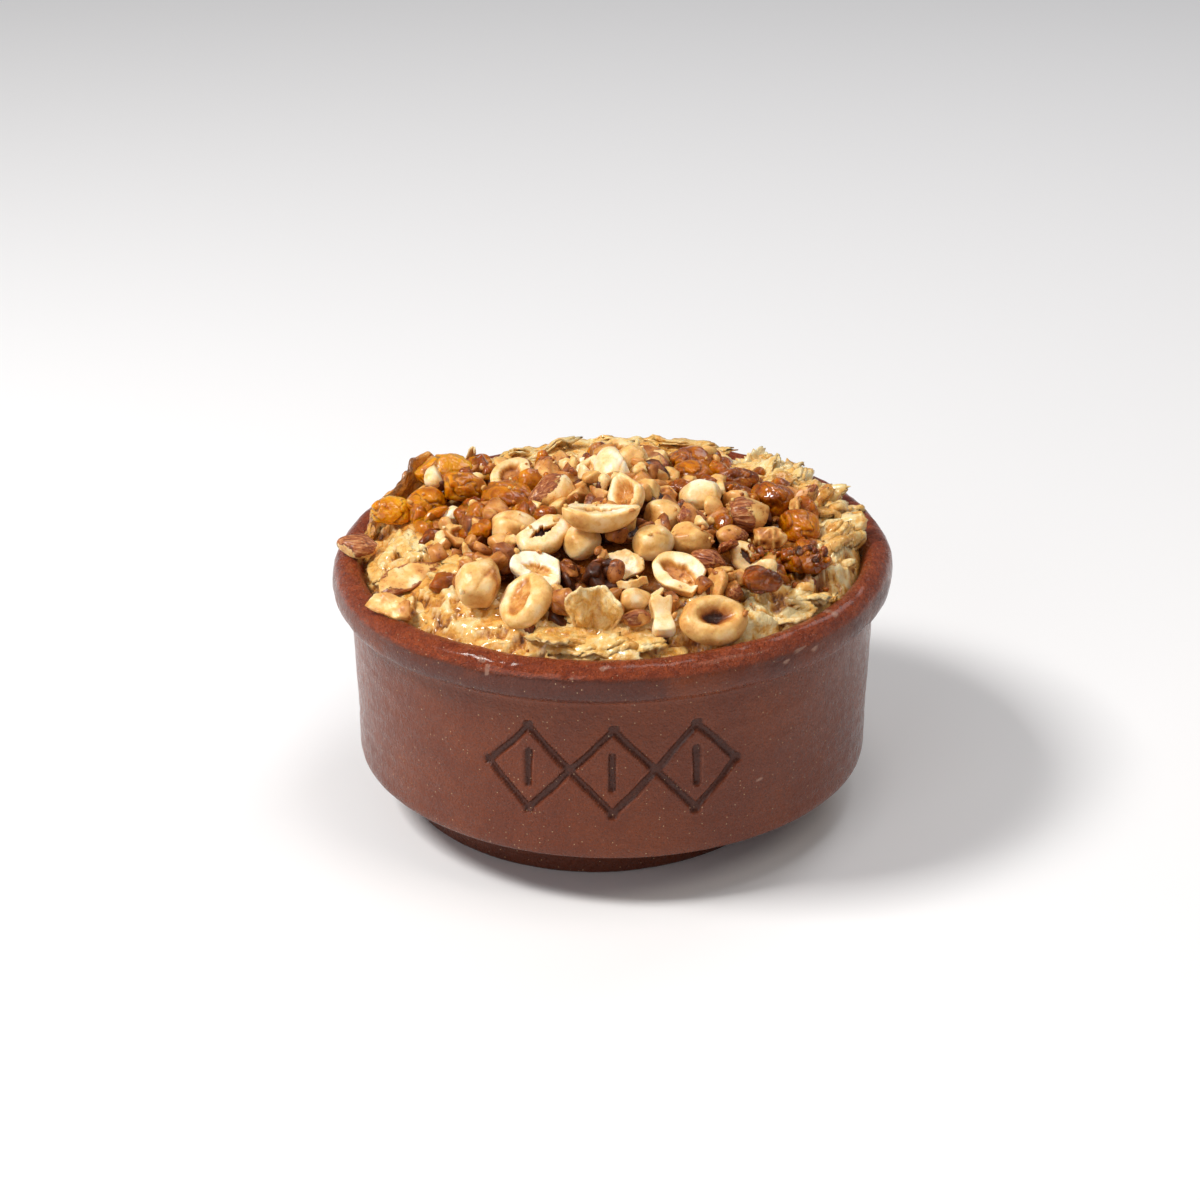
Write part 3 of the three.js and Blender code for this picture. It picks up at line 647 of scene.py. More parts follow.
GLAZE = glaze_material()
PASTRY = pastry_material()
HAZELNUT = nut_material("hazelnut", 0.34, 0.12)
ALMOND = nut_material("roast_nut", 0.42, 0.25)
SULTANA = sultana_material()


# ---- Toppings: the place and size of each come from its CAD node ----

HALF_LOOK = dict(
    hollow=(0.6, 0.45), deep=0.4, rim=0.16, soft=0.5, ragged=0.12, bow=0.0, bites=(), roast=0.28, face=0.12,
    inside=0.55, dark=0.0, skin=0.0, fade=0.05)
# How each split hazelnut differs from HALF_LOOK; hazelnut_half() says what the words mean.
HALVES = {
    "hazelnut_ring": dict(
        hollow=(0.64, 0.46), deep=0.42, rim=0.55, soft=0.8, ragged=0.04, roast=0.35, face=0.33, inside=0.6,
        dark=0.3, fade=0.3),
    "hazelnut_brown": dict(
        hollow=(0.8, 0.4), deep=0.16, rim=0.34, soft=0.45, ragged=0.06, roast=0.27, face=0.2, inside=0.48),
    "hazelnut_left_half": dict(
        hollow=(0.5, 0.4), deep=0.3, bites=((70, 0.6), (200, 0.7)), roast=0.45, face=0.35),
    "hazelnut_back_half": dict(
        hollow=(0.55, 0.5), deep=0.3, bites=((-100, 0.75),), face=0.22, inside=0.62),
    "hazelnut_long": dict(
        hollow=(0.72, 0.42), deep=0.34, rim=0.08, soft=0.3, bites=((8, 0.72), (-75, 0.86)), roast=0.24,
        inside=0.4, dark=0.1),
    "hazelnut_slit": dict(
        hollow=(0.46, 0.3), deep=0.2, rim=0.3, soft=0.2, ragged=0.3, face=0.16, inside=0.8),
    "hazelnut_top": dict(
        hollow=(0.6, 0.55), deep=0.3, ragged=0.3, bites=((120, 0.7),), face=0.25, inside=0.5),
    "hazelnut_red_half": dict(
        hollow=(0.8, 0.7), ragged=0.3, roast=0.6, face=0.55, inside=0.75, dark=0.3, skin=0.8),
    "hazelnut_dark": dict(
        hollow=(0.4, 0.24), deep=0.3, rim=0.3, soft=0.15, ragged=0.45, bites=((100, 0.7),), face=0.1,
        inside=0.84, dark=0.2),
    "hazelnut_white": dict(
        hollow=(0.6, 0.3), deep=0.2, ragged=0.3, bow=0.4, bites=((20, 0.8), (-110, 0.7)), roast=0.08,
        face=0.0, inside=0.38),
    "hazelnut_boat": dict(
        hollow=(0.74, 0.4), soft=0.35, ragged=0.4, bow=0.45, bites=((150, 0.88), (60, 0.85)), roast=0.3,
        face=0.14, dark=0.2),
    "hazelnut_edge": dict(hollow=(0.5, 0.4), deep=0.2, bites=((45, 0.7),), face=0.15, inside=0.3),
    "hazelnut_curved": dict(
        hollow=(0.74, 0.6), deep=0.5, rim=0.3, bow=0.35, bites=((-60, 0.8),), inside=0.45),
}
# How roasted each whole or chopped nut is, from 0 for cream to 1 for nearly black.
ROASTED = {
    "hazelnut_whole": 0.26, "hazelnut_smooth": 0.2, "hazelnut_pointed": 0.1, "hazelnut_yellow": 0.22,
    "hazelnut_green": 0.3, "hazelnut_shaded": 0.26, "hazelnut_cream": 0.08, "nut_flat_rim": 0.35,
    "nut_left_small": 0.32, "nut_left_block": 0.14, "nut_pale_wedge": 0.12, "nut_pale_lower": 0.2,
    "nut_red_strip": 0.58, "nut_right_low": 0.5, "nut_right_crusty": 0.5, "nut_right_tan": 0.42,
    "nut_orange": 0.55, "nut_amber": 0.55,
}
USUAL_ROAST = 0.16
SKINNED = ("nut_red_strip", "nut_orange", "nut_right_low")
CRUSTY = ("nut_right_crusty", "nut_orange", "nut_amber", "nut_left_small", "nut_right_tan")
CHIPS = ("nut_flat_rim", "nut_red_strip", "nut_pale_wedge", "nut_pale_lower")
# Each almond: whether an end is broken off, the side that still has its skin, and how roasted it is.
ALMONDS = {
    "almond_rim": (False, (-0.3, -0.5, 1.2), 0.3),
    "almond_skin_chip": (True, (0, -0.3, 1), 0.4),
    "almond_large": (True, (-0.9, 0.1, 0.5), 0.24),
    "almond_red": (False, (0.2, -0.6, 0.8), 0.62),
    "almond_tan": (False, (1, 0, -0.9), 0.46),
    "almond_right": (True, (-1, -0.2, 0.3), 0.34),
    "almond_dark": (False, (0, 0.2, 1), 0.5),
    "almond_low": (False, (0, -0.5, 1), 0.5),
}
# How dark each sultana is, from 0 for gold to 1 for brown.
SULTANAS = {
    "sultana_mound": 0.2, "sultana_left": 0.12, "sultana_inner": 0.3, "sultana_middle": 0.35,
    "sultana_glossy": 0.42, "sultana_top": 0.6, "sultana_dark": 0.8, "sultana_ridge": 0.62,
    "sultana_big": 0.58, "sultana_syrupy": 0.55,
}
USUAL_DARKNESS = 0.45
UNDER_SYRUP = ("sultana_syrupy",)

# Small corrections of where some lie and of their half sizes along their own axes, and the way that the
# flat side of two chips looks.
SHIFTED = {"almond_low": (0, 0, 0.9), "nut_flat_rim": (1.6, 0.8, -0.3), "sultana_syrupy": (0, 0, -1.2)}
STRETCHED = {"almond_low": (1.35, 1.2, 1), "hazelnut_brown": (1, 1.14, 1), "sultana_syrupy": (1.1, 1, 0.8)}
LEANING = {"nut_flat_rim": (-0.1, -0.45, 0.9), "nut_pale_wedge": (0.1, -0.6, 0.7)}


def node_triangles(name):
    """Corner points of a CAD node in millimetres, and its triangles' centres, normals and areas."""
    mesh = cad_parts[name].data
    mesh.calc_loop_triangles()
    points = np.array([vert.co for vert in mesh.vertices]) / MM
    corners = points[np.array([triangle.vertices for triangle in mesh.loop_triangles])]
    across = np.cross(corners[:, 1] - corners[:, 0], corners[:, 2] - corners[:, 0])
    double = np.linalg.norm(across, axis=1)
    keep = double > 1e-9
    return points, corners.mean(1)[keep], across[keep] / double[keep, None], double[keep] / 2


def pose_of(name, flat_is=None):
    """A node's centre, axes as rows, and half sizes. The first axis is its longer way, towards the tip.

    flat_is says what its largest flat side is: "top" is a cut face, and "end" is a broken end.
    """
    points, centres, normals, areas = node_triangles(name)
    middle = np.average(centres, axis=0, weights=areas)
    offsets = centres - middle
    spread = offsets.T @ (offsets * areas[:, None])
    alike = (normals @ normals.T > 0.999) @ areas
    flat = normals[np.argmax(alike)]
    across = np.eye(3) - np.outer(flat, flat)
    if flat_is == "top":
        long, up = np.linalg.eigh(across @ spread @ across)[1][:, 2], flat
    elif flat_is == "end":
        long, up = flat, np.linalg.eigh(across @ spread @ across)[1][:, 1]
    else:
        axes = np.linalg.eigh(spread)[1]
        long, up = axes[:, 2], axes[:, 0]
    if flat_is != "top" and up[2] < 0:
        up = -up
    reach = (points - middle) @ long
    if flat_is != "end" and reach.max() < -reach.min():
        long = -long
    axes = axes_with(long, up)
    local = (points - middle) @ axes.T
    low, high = local.min(0), local.max(0)
    centre = middle + (low + high) / 2 @ axes + SHIFTED.get(name, (0, 0, 0))
    return centre, axes, (high - low) / 2 * STRETCHED.get(name, (1, 1, 1))


def placed(local, centre, axes):
    """Points in a piece's own axes, brought to its place in the dish."""
    return centre + local @ axes


def shape_at(centre, axes, local, faces, **masks):
    """A shape from points in its own axes, with those points as its mask own."""
    return placed(local, centre, axes), faces, {"own": local, **masks}


def dents(local, amount, size, seed):
    """The points moved along their own direction from the middle by noise, of this share of their reach."""
    return local * (1 + amount * layered(local, size, seed))[:, None]


def cut_ball(unit, half, cuts, sharpness=16):
    """An ellipsoid with flat broken sides that meet in slightly rounded edges.

    Each cut is (direction, distance from the middle). Returns the points, and for each the share from 0
    to 1 to which it lies on a broken side.
    """
    whole = np.linalg.norm(unit / half, axis=1) ** sharpness
    broken = np.zeros(len(unit))
    for direction, distance in cuts:
        direction = np.asarray(direction, float) / np.linalg.norm(direction)
        broken += (np.maximum(unit @ direction, 0) / distance) ** sharpness
    reach = (whole + broken) ** (-1 / sharpness)
    return unit * reach[:, None], broken / (whole + broken)


def random_cuts(count, half, draw, low, high):
    """Broken sides all round, each at a random share of the ellipsoid's own distance."""
    cuts = []
    for _ in range(count):
        direction = draw.normal(size=3)
        direction /= np.linalg.norm(direction)
        cuts.append((direction, draw.uniform(low, high) * np.linalg.norm(direction * half)))
    return cuts


def whole_hazelnut(name, roast, seed):
    """A peeled kernel: nearly round, drawn to a soft point, with faint ribs and a flat scar at its end."""
    centre, axes, half = pose_of(name)
    unit, faces = FINE_BALL
    around = np.arctan2(unit[:, 2], unit[:, 1])
    worn = random_cuts(5, half, np.random.default_rng(seed), 0.82, 0.94)
    local, scar = cut_ball(unit, half * 1.03, [((-1, 0.1, 0.15), 0.84 * half[0]), *worn], 18)
    body = 1 - unit[:, 0] ** 2
    ribs = 0.03 * np.sin(5 * around + seed + 0.9 * unit[:, 0]) + 0.014 * np.sin(9 * around + 2 * seed)
    cleft = np.exp(-((around - 1.2 - 0.5 * unit[:, 0]) / 0.07) ** 2)
    local[:, 1:] *= (1 + body * (ribs - 0.045 * cleft))[:, None]
    local[:, 0] += 0.12 * half[0] * np.maximum(0, unit[:, 0]) ** 6
    local = dents(local, 0.055, 6, seed)
    browned = 0.14 * smoothstep(layered(local, 5, seed + 5), 0.2, 1.1)
    return shape_at(
        centre, axes, local, faces,
        roast=roast + 0.1 * noise(local, 6, seed) + 0.12 * scar + browned + 0.15 * cleft * body,
        skin=0.9 * smoothstep(noise(local, 2.2, seed + 9), 0.8, 0.97))


def bitten(outline, half, bites):
    """The outline with straight broken sides, each (degrees, share of the outline's reach that is left)."""
    for bearing, share in bites:
        side = level_direction(bearing)[:2]
        past = outline @ side - share * np.linalg.norm(side * half[:2])
        outline = outline - np.outer(np.maximum(0, past) * 0.9, side)
    return outline


def half_outline(look, half, around, seed):
    """Outline of the cut face and reach of its hollow, in the directions around."""
    compass = np.column_stack([np.cos(around), np.sin(around)])
    ring = np.column_stack([3 * compass, np.full(len(around), seed * 7.0)])
    outline = compass * half[:2] * (1 + 0.05 * layered(ring, 2.2, seed))[:, None]
    outline[:, 0] += 0.06 * half[0] * np.maximum(0, compass[:, 0]) ** 4
    hollow = 1 / np.linalg.norm(compass / (half[:2] * look["hollow"]), axis=1)
    hollow *= 1 + look["ragged"] * (layered(ring, 1.1, seed + 3) + 0.6 * noise(ring, 0.5, seed + 2))
    return bitten(outline, half, look["bites"]), hollow


def half_rings(rim, depth, width):
    """(scale, height, share of the cut face) of each ring, from the shell's bottom to the face's middle."""
    shell = [
        (math.sin(turn) ** 0.8, -rim - (depth - rim) * math.cos(turn), 0.0)
        for turn in np.radians(np.linspace(4, 84, 17))]
    rolled = [
        (1 - rim / width * (1 - math.cos(turn)), rim * (math.sin(turn) - 1), smoothstep(turn, 0.6, 1.6))
        for turn in np.radians(np.linspace(0, 90, 7))]
    flat = [(scale, 0.0, 1.0) for scale in np.linspace(1 - 1.15 * rim / width, 0.03, 24)]
    return [*shell, *rolled, *flat]


def half_roast(look, local, face, sunk, seed):
    """How roasted each point of a half is: its shell, its cut face, and the browned hollow in that."""
    outer = look["roast"] + 0.12 * layered(local, 5, seed)
    browned = smoothstep(sunk, look["fade"], look["fade"] + 0.65)
    dotted = smoothstep(noise(local, 0.9, seed + 6), 0.2, 0.8)
    inner = look["face"] + (look["inside"] - look["face"]) * browned + 0.12 * sunk * dotted
    inner += look["dark"] * smoothstep(sunk + 0.2 * noise(local, 2, seed + 5), 0.6, 1.15)
    return outer * (1 - face) + (inner + 0.06 * layered(local, 3, seed + 1)) * face


def hazelnut_half(name, look, seed):
    """Half a kernel, or more often a broken part of one, lying in its shell shape with its cut face up.

    hollow is where the seed's halves met, as a share of the face along and across, and deep is its share
    of the depth. rim is how far the outline is rolled over, soft how gently the hollow sinks, ragged how
    uneven its edge is, bow how far the ends turn up, and bites are straight broken sides. roast is for the
    shell, face for the cut face and inside for the hollow, which starts to brown at fade and gets darker
    by dark at its bottom. skin is how much skin is left on the shell.
    """
    look = {**HALF_LOOK, **look}
    centre, axes, half = pose_of(name, "top")
    columns = HALF_NUT_COLUMNS
    around = np.linspace(0, 2 * math.pi, columns, endpoint=False)
    outline, hollow = half_outline(look, half, around, seed)
    depth = 2 * half[2]
    rings = half_rings(look["rim"] * half[1], depth, half[1])
    rows = len(rings)
    scale, height, face = (np.repeat(values, columns) for values in zip(*rings))
    share = scale * np.tile(np.linalg.norm(outline, axis=1) / hollow, rows)
    sunk = (1 - smoothstep(share, 1 - look["soft"], 1 + 0.6 * look["soft"])) * face
    flat = np.tile(outline, (rows, 1)) * scale[:, None]
    fibres = noise(np.column_stack([flat * 0.6, np.tile(around * 9, rows) * 0.3]), 0.8, seed + 7)
    height = half[2] + height - look["deep"] * depth * sunk + 0.12 * fibres * face
    local = np.column_stack([flat, height])
    local = np.vstack([local[:columns].mean(0), local, local[-columns:].mean(0)])
    face, sunk = (np.concatenate([[0], values, [values[-1]]]) for values in (face, sunk))
    bowed = look["bow"] * ((local[:, 0] / half[0]) ** 2 - 0.35) + 0.1 * layered(local, 4, seed + 4) * face
    local[:, 2] += half[2] * bowed
    local = dents(local, 0.035, 4, seed)
    return shape_at(
        centre, axes, local, lathe_faces(rows, columns),
        roast=half_roast(look, local, face, sunk, seed),
        skin=look["skin"] * (1 - face) * (0.75 + 0.5 * noise(local, 2, seed + 8)))


def almond_piece(name, broken_end, skin_side, roast, seed):
    """Part of an almond in its ribbed skin, which may be broken across to pale flesh at one end."""
    centre, axes, half = pose_of(name, "end" if broken_end else None)
    unit, faces = FINE_BALL
    around = np.arctan2(unit[:, 2], unit[:, 1])
    cuts = random_cuts(3, half, np.random.default_rng(seed), 0.75, 0.95)
    cuts.insert(0, ((-0.3, 0.8, 0.6), 0.84 * half[1]))
    if broken_end:
        cuts += [((1, 0.15, 0.1), half[0]), ((0.7, -0.5, 0.6), 0.95 * half[0])]
    local, bare = cut_ball(unit, half * (1.3, 1, 1) if broken_end else half, cuts, 20)
    taper = 1 - 0.35 * np.maximum(0, -unit[:, 0] if broken_end else unit[:, 0]) ** 2
    local[:, 1:] *= taper[:, None]
    lit = unit @ axes @ np.asarray(skin_side, float) + 0.3 * layered(local, 3, seed)
    skin = smoothstep(lit, -0.1, 0.15) * (1 - 0.85 * bare)
    ribs = np.abs(np.sin(8 * around + 1.8 * noise(local, 4, seed + 1)))
    local = dents(local, 0.045, 3.5, seed)
    local[:, 1:] *= (1 - 0.05 * skin * (1 - ribs) ** 2)[:, None]
    roast = roast + 0.12 * layered(local, 4, seed + 2) + 0.12 * bare * noise(local, 2, seed + 3)
    return shape_at(centre, axes, local, faces, roast=roast, skin=skin)


def almond_slice(name, seed):
    """A lengthwise slice: a flat tan face with a thin dark skin along its edge."""
    centre, axes, half = pose_of(name, "top")
    unit, faces = FINE_BALL
    cuts = [((0, 0, 1), 0.5 * half[2]), ((-0.9, 0.6, 0), 0.8 * half[0])]
    local, face = cut_ball(unit, half * (1.02, 1.05, 1.6), cuts)
    local[:, 1] *= 1 - 0.5 * np.maximum(0, unit[:, 0]) ** 2
    local = dents(local, 0.04, 3, seed)
    local[:, 2] += (0.3 * layered(local, 4, seed + 1) - 0.5) * half[2] - 0.008 * local[:, 0] ** 2
    edge = smoothstep(np.hypot(unit[:, 0], unit[:, 1]), 0.3, 0.7)
    return shape_at(
        centre, axes, local, faces,
        roast=0.33 + 0.14 * layered(local, 5, seed) + 0.08 * noise(local, 1.5, seed + 4),
        skin=(1 - smoothstep(face, 0.2, 0.6)) * edge)


def chopped_nut(name, roast, seed):
    """A chopped piece with the CAD piece's own flat sides."""
    centre, axes, half = pose_of(name)
    unit, faces = FINE_BALL
    _, centres, normals, _ = node_triangles(name)
    sides = normals @ axes.T
    distances = np.maximum(np.einsum("ij,ij->i", (centres - centre) @ axes.T, sides), 0.3 * half[2])
    local, _ = cut_ball(unit, half * 1.3, zip(sides, distances), 36)
    local = dents(local, 0.05, 3, seed)
    crust = 0.08 if name in CRUSTY else 0.03
    rough = ridged(local, 1.6, seed + 3) + 0.5 * noise(local, 0.8, seed + 4)
    local *= (1 + crust * rough)[:, None]
    return shape_at(
        centre, axes, local, faces,
        roast=roast + 0.16 * layered(local, 3.5, seed) - 2 * crust * rough,
        skin=smoothstep(noise(local, 5, seed + 2), 0.35, 0.5) * (name in SKINNED))


def nut_chip(name, roast, seed):
    """A flat chip with a straight-sided, uneven outline."""
    centre, axes, half = pose_of(name)
    if name in LEANING:
        axes = turned_to(np.array(LEANING[name]), 0.2)
    unit, faces = FINE_BALL
    draw = np.random.default_rng(seed)
    cuts = [((0.06, 0, 1), 0.55 * half[2]), ((0, 0.06, -1), 0.55 * half[2])]
    for i in range(6):
        side = level_direction(60 * i + draw.uniform(-20, 20))
        side[2] = draw.uniform(-0.15, 0.15)
        cuts.append((side, draw.uniform(0.7, 1.0) * np.linalg.norm(side * half)))
    local, _ = cut_ball(unit, half * 1.7, cuts, 40)
    local *= (1.1, 1.1, 0.7)
    jagged = 0.07 * layered(local * (1, 1, 0), 2.2, seed) + 0.04 * layered(local * (1, 1, 0), 0.9, seed + 2)
    local[:, :2] *= 1 + jagged[:, None]
    local[:, 2] += 0.5 * layered(local * (1, 1, 0), 3, seed + 1) + 0.15 * noise(local, 1.2, seed + 5)
    return shape_at(
        centre, axes, local, faces,
        roast=roast + 0.12 * layered(local, 3, seed) + 0.08 * noise(local, 0.9, seed + 4),
        skin=np.full(len(local), float(name in SKINNED)))


def wrinkled(unit, half, seed):
    """Local points and creases of a sultana with these half sizes: plump, dented, and finely wrinkled."""
    draw = np.random.default_rng(seed)
    local, _ = cut_ball(unit, half * 1.06, random_cuts(8, half, draw, 0.66, 0.95), 13)
    local = dents(local, 0.1, 4, seed)
    stretched = local * (0.6, 1, 1) + 0.8 * layered(local, 3, seed + 1)[:, None]
    crease = smoothstep(ridged(stretched, 3.2, seed), 0.45, 1.0)
    fine = smoothstep(ridged(stretched, 1.2, seed + 2), 0.4, 1.0)
    inward = (0.5 * crease + 0.12 * fine) / np.linalg.norm(local, axis=1)
    return local * (1 - inward)[:, None], crease


def sultana(name, tone, seed):
    """A large sultana. One that lies under syrup is also lumpy."""
    centre, axes, half = pose_of(name)
    unit, faces = FINE_BALL
    local, crease = wrinkled(unit, half * 1.06, seed)
    if name in UNDER_SYRUP:
        local *= (1 + 0.08 * ridged(local, 2.0, seed + 5))[:, None]
    return shape_at(centre, axes, local, faces, tone=tone + 0.12 * layered(local, 6, seed, 2), crease=crease)


def sheet_shape(points, thickness, masks):
    """A closed thin sheet from a grid of points (rows, columns, 3) and its masks."""
    rows, columns, _ = points.shape
    grid = np.arange(columns * rows).reshape(rows, columns)
    normal = np.cross(np.gradient(points, axis=1), np.gradient(points, axis=0))
    normal /= np.maximum(np.linalg.norm(normal, axis=2, keepdims=True), 1e-9)
    rim = np.ones((rows, columns, 1))
    rim[1:-1, 1:-1] = 0
    half = thickness / 2 * (1 - 0.5 * rim)
    both = np.concatenate([(points + normal * half).reshape(-1, 3), (points - normal * half).reshape(-1, 3)])
    top = np.stack([grid[:-1, :-1], grid[:-1, 1:], grid[1:, 1:], grid[1:, :-1]], -1).reshape(-1, 4)
    loop = np.concatenate([grid[0, :-1], grid[:-1, -1], grid[-1, :0:-1], grid[:0:-1, 0]])
    after = np.roll(loop, -1)
    under = columns * rows
    side = np.stack([after, loop, loop + under, after + under], -1)
    faces = [np.concatenate([top, top[:, ::-1] + under, side])]
    return both, faces, {name: np.concatenate([values.reshape(-1)] * 2) for name, values in masks.items()}


def front_flake():
    """The flake that stands at the front: a fan with a scalloped top edge, cupped towards the front."""
    low, high = (np.array(corner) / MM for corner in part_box("flake_front"))
    middle, size = (low + high) / 2, high - low
    across, up = np.meshgrid(np.linspace(-1, 1, 49), np.linspace(0, 1, 41))
    flat = np.column_stack([4 * across.ravel(), 4 * up.ravel(), up.ravel() * 0])
    ripple, fine = (layered(flat, reach, 5).reshape(up.shape) for reach in (1.6, 0.5))
    edge_noise = layered(np.column_stack([across.ravel() * 5, up.ravel() * 0, up.ravel() * 0]), 1.1, 2)
    scallop = up ** 5 * (1.1 * np.abs(np.sin(3.6 * across + 0.3)) - 0.9 + 0.5 * edge_noise.reshape(up.shape))
    scallop -= up ** 3 * 2.2 * np.maximum(0, across) ** 2
    width = size[0] / 2 * (0.34 + 0.66 * smoothstep(up, -0.1, 0.75)) * (1 + 0.05 * ripple)
    splayed = across * width * (1 + 0.12 * across * (1 - up)) + 0.12 * size[0] * (1 - up) ** 2 * across
    cupped = -1.6 * across ** 2 * up
    waved = cupped + 1.0 * np.sin(4.2 * across + 0.5) * up + 0.6 * ripple + 0.2 * fine + 0.9 * (0.5 - up)
    raised = (up - 0.5) * size[2] * 1.04 - 1.6 * across ** 2 * up + scallop
    points = np.stack([splayed, waved, raised], axis=-1) + middle
    edge = 0.8 * smoothstep(up, 0.86, 1) + 0.6 * smoothstep(np.abs(across), 0.86, 1)
    masks = {
        "tone": 0.34 + 0.07 * ripple - 0.12 * smoothstep(up, 0.75, 1.0) + 0.12 * (1 - up),
        "soak_and_shade": np.zeros_like(up),
        "edge": np.clip(edge, 0, 1),
    }
    return sheet_shape(points, 0.8, masks)


def saddle():
    """A thick shaving of nut with a notched top, pinched at its waist."""
    centre, axes, half = pose_of("saddle_front")
    unit, faces = FINE_BALL
    cuts = [((side, 0, 0.1), 0.9 * half[0]) for side in (-1, 1)]
    cuts += [((0, side, 0), 0.9 * half[1]) for side in (-1, 1)]
    cuts += [((0, 0, side), 0.85 * half[2]) for side in (-1, 1)]
    local, _ = cut_ball(unit, half * 1.35, cuts, 12)
    local[:, 1:] *= (1 - 0.24 * np.exp(-((local[:, 0] / (0.4 * half[0])) ** 2)))[:, None]
    local[:, 2] += 0.3 * half[2] * ((local[:, 0] / half[0]) ** 2 - 0.4)
    notch = hump(local[:, 1], 0.2 * half[1], 0.8) * smoothstep(-local[:, 0], 0.4 * half[0], half[0])
    local[:, 0] += 0.9 * notch
    local = dents(local, 0.05, 3, 21)
    roast = 0.13 + 0.1 * layered(local, 4, 22)
    return shape_at(centre, axes, local, faces, roast=roast, skin=np.zeros(len(local)))


def topping(name, seed):
    """The shape and material that stand for a CAD node."""
    kind = name.split("_")[0]
    if name in HALVES:
        return hazelnut_half(name, HALVES[name], seed), HAZELNUT
    if kind == "hazelnut":
        return whole_hazelnut(name, ROASTED.get(name, USUAL_ROAST), seed), HAZELNUT
    if name == "almond_slice":
        return almond_slice(name, seed), ALMOND
    if kind == "almond":
        return almond_piece(name, *ALMONDS[name], seed), ALMOND
    if kind == "sultana":
        return sultana(name, SULTANAS.get(name, USUAL_DARKNESS), seed), SULTANA
    if name in CHIPS:
        return nut_chip(name, ROASTED[name], seed), ALMOND
    if kind == "nut":
        return chopped_nut(name, ROASTED[name], seed), ALMOND
    if name == "saddle_front":
        return saddle(), HAZELNUT
    return front_flake(), PASTRY


def make_toppings():
    """All the large toppings, each in place of its CAD node. Returns their shapes by name."""
    shapes = {}
    for seed, name in enumerate(sorted(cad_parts)):
        if name not in ("bowl", "pudding"):
            shapes[name], material = topping(name, seed)
            mesh_piece(name + "_fine", shapes[name], material, [name])
    return shapes


# ---- Height maps of the top of the dish, on a square grid ----

STEP = 0.4
SPAN = 66.0
CELLS = int(2 * SPAN / STEP) + 1
GRID = np.arange(CELLS) * STEP - SPAN
MAP_X, MAP_Y = np.meshgrid(GRID, GRID, indexing="ij")
MAP_RADIUS = np.hypot(MAP_X, MAP_Y)
MAP_BEARING = np.degrees(np.arctan2(MAP_Y, MAP_X))
MAP_POINTS = np.column_stack([MAP_X.ravel(), MAP_Y.ravel(), np.zeros(CELLS * CELLS)])
CELLS_PER_RAY = 4
ABOVE_ALL = 120.0
BELOW_TOP = 60.0  # a height that is inside the pudding everywhere


def cells_of(points):
    """Indices of the cell that each point lies in."""
    return tuple(np.clip(np.rint((points[:, i] + SPAN) / STEP), 0, CELLS - 1).astype(int) for i in (0, 1))


def window(x, y, reach):
    """The square of cells within reach of a place."""
    i, j = (int(round((value + SPAN) / STEP)) for value in (x, y))
    cells = int(reach / STEP) + 1
    return slice(max(0, i - cells), i + cells + 1), slice(max(0, j - cells), j + cells + 1)


def widened(heights, reach, pick=np.maximum):
    """Each cell takes the highest value within reach (or the lowest, with np.minimum)."""
    cells = int(reach / STEP)
    for axis in (0, 1):
        spread = heights
        for shift in range(1, cells + 1):
            spread = pick(spread, pick(np.roll(heights, shift, axis), np.roll(heights, -shift, axis)))
        heights = spread
    return heights


def blurred(heights, reach):
    """The map, smoothed by three rounds of averaging over this reach."""
    cells = max(1, int(reach / STEP))
    for _ in range(3):
        for axis in (0, 1):
            shifted = [np.roll(heights, shift, axis) for shift in range(-cells, cells + 1)]
            heights = sum(shifted) / len(shifted)
    return heights


def read_map(heights, points):
    """The map's value at each point, blended between the four cells round it."""
    at = np.clip((np.asarray(points)[:, :2] + SPAN) / STEP, 0, CELLS - 1.001)
    cell = at.astype(int)
    fx, fy = (at - cell).T
    x, y = cell.T
    low = heights[x, y] * (1 - fy) + heights[x, y + 1] * fy
    high = heights[x + 1, y] * (1 - fy) + heights[x + 1, y + 1] * fy
    return low * (1 - fx) + high * fx


def read_at(heights, spot):
    """The map's value at one place."""
    return read_map(heights, [spot])[0]


def pudding_map():
    """The CAD pudding's top, with the dents under the toppings filled."""
    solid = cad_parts["pudding"]
    heights = np.full((CELLS, CELLS), BELOW_TOP)
    for i, j in product(range(0, CELLS, CELLS_PER_RAY), repeat=2):
        start = Vector((GRID[i] * MM, GRID[j] * MM, ABOVE_ALL * MM))
        hit, spot, _, _ = solid.ray_cast(start, Vector((0, 0, -1)))
        if hit:
            heights[i:i + CELLS_PER_RAY, j:j + CELLS_PER_RAY] = spot.z / MM
    filled = widened(widened(heights, 7), 7, np.minimum)
    edge = MAP_RADIUS > PUDDING_RADIUS - 5
    return blurred(np.where(edge, heights, np.maximum(heights, filled)), 1.6)


def toppings_map(shapes):
    """Top of the large toppings in each cell, and 0 where there are none."""
    heights = np.zeros((CELLS, CELLS))
    for points, _, _ in shapes:
        np.maximum.at(heights, cells_of(points), points[:, 2])
    return widened(heights, STEP)


# ---- The pudding ----

SMALLEST_SHEET = 12  # cells
SHEET_HALF = 2.4  # half length of the last sheets
SHEET_MORE = 8.0  # about how much more the first ones have
BANK_BEARING = -32  # middle of the stretch where the sheets are raised
TOP_RADIUS = PUDDING_RADIUS - 0.4
HIDDEN_RADIUS = 36  # within it the heap covers the pudding, so that a few rings of points are enough
# Radius and height of the filling's sides, from its top down to the dish's floor.
PUDDING_SIDES = (
    (PUDDING_RADIUS + INTO_WALL, 61.4), (WALL_RADIUS - 5, 57), (WALL_RADIUS - 5.6, 49), (57, 22), (49, 14),
)


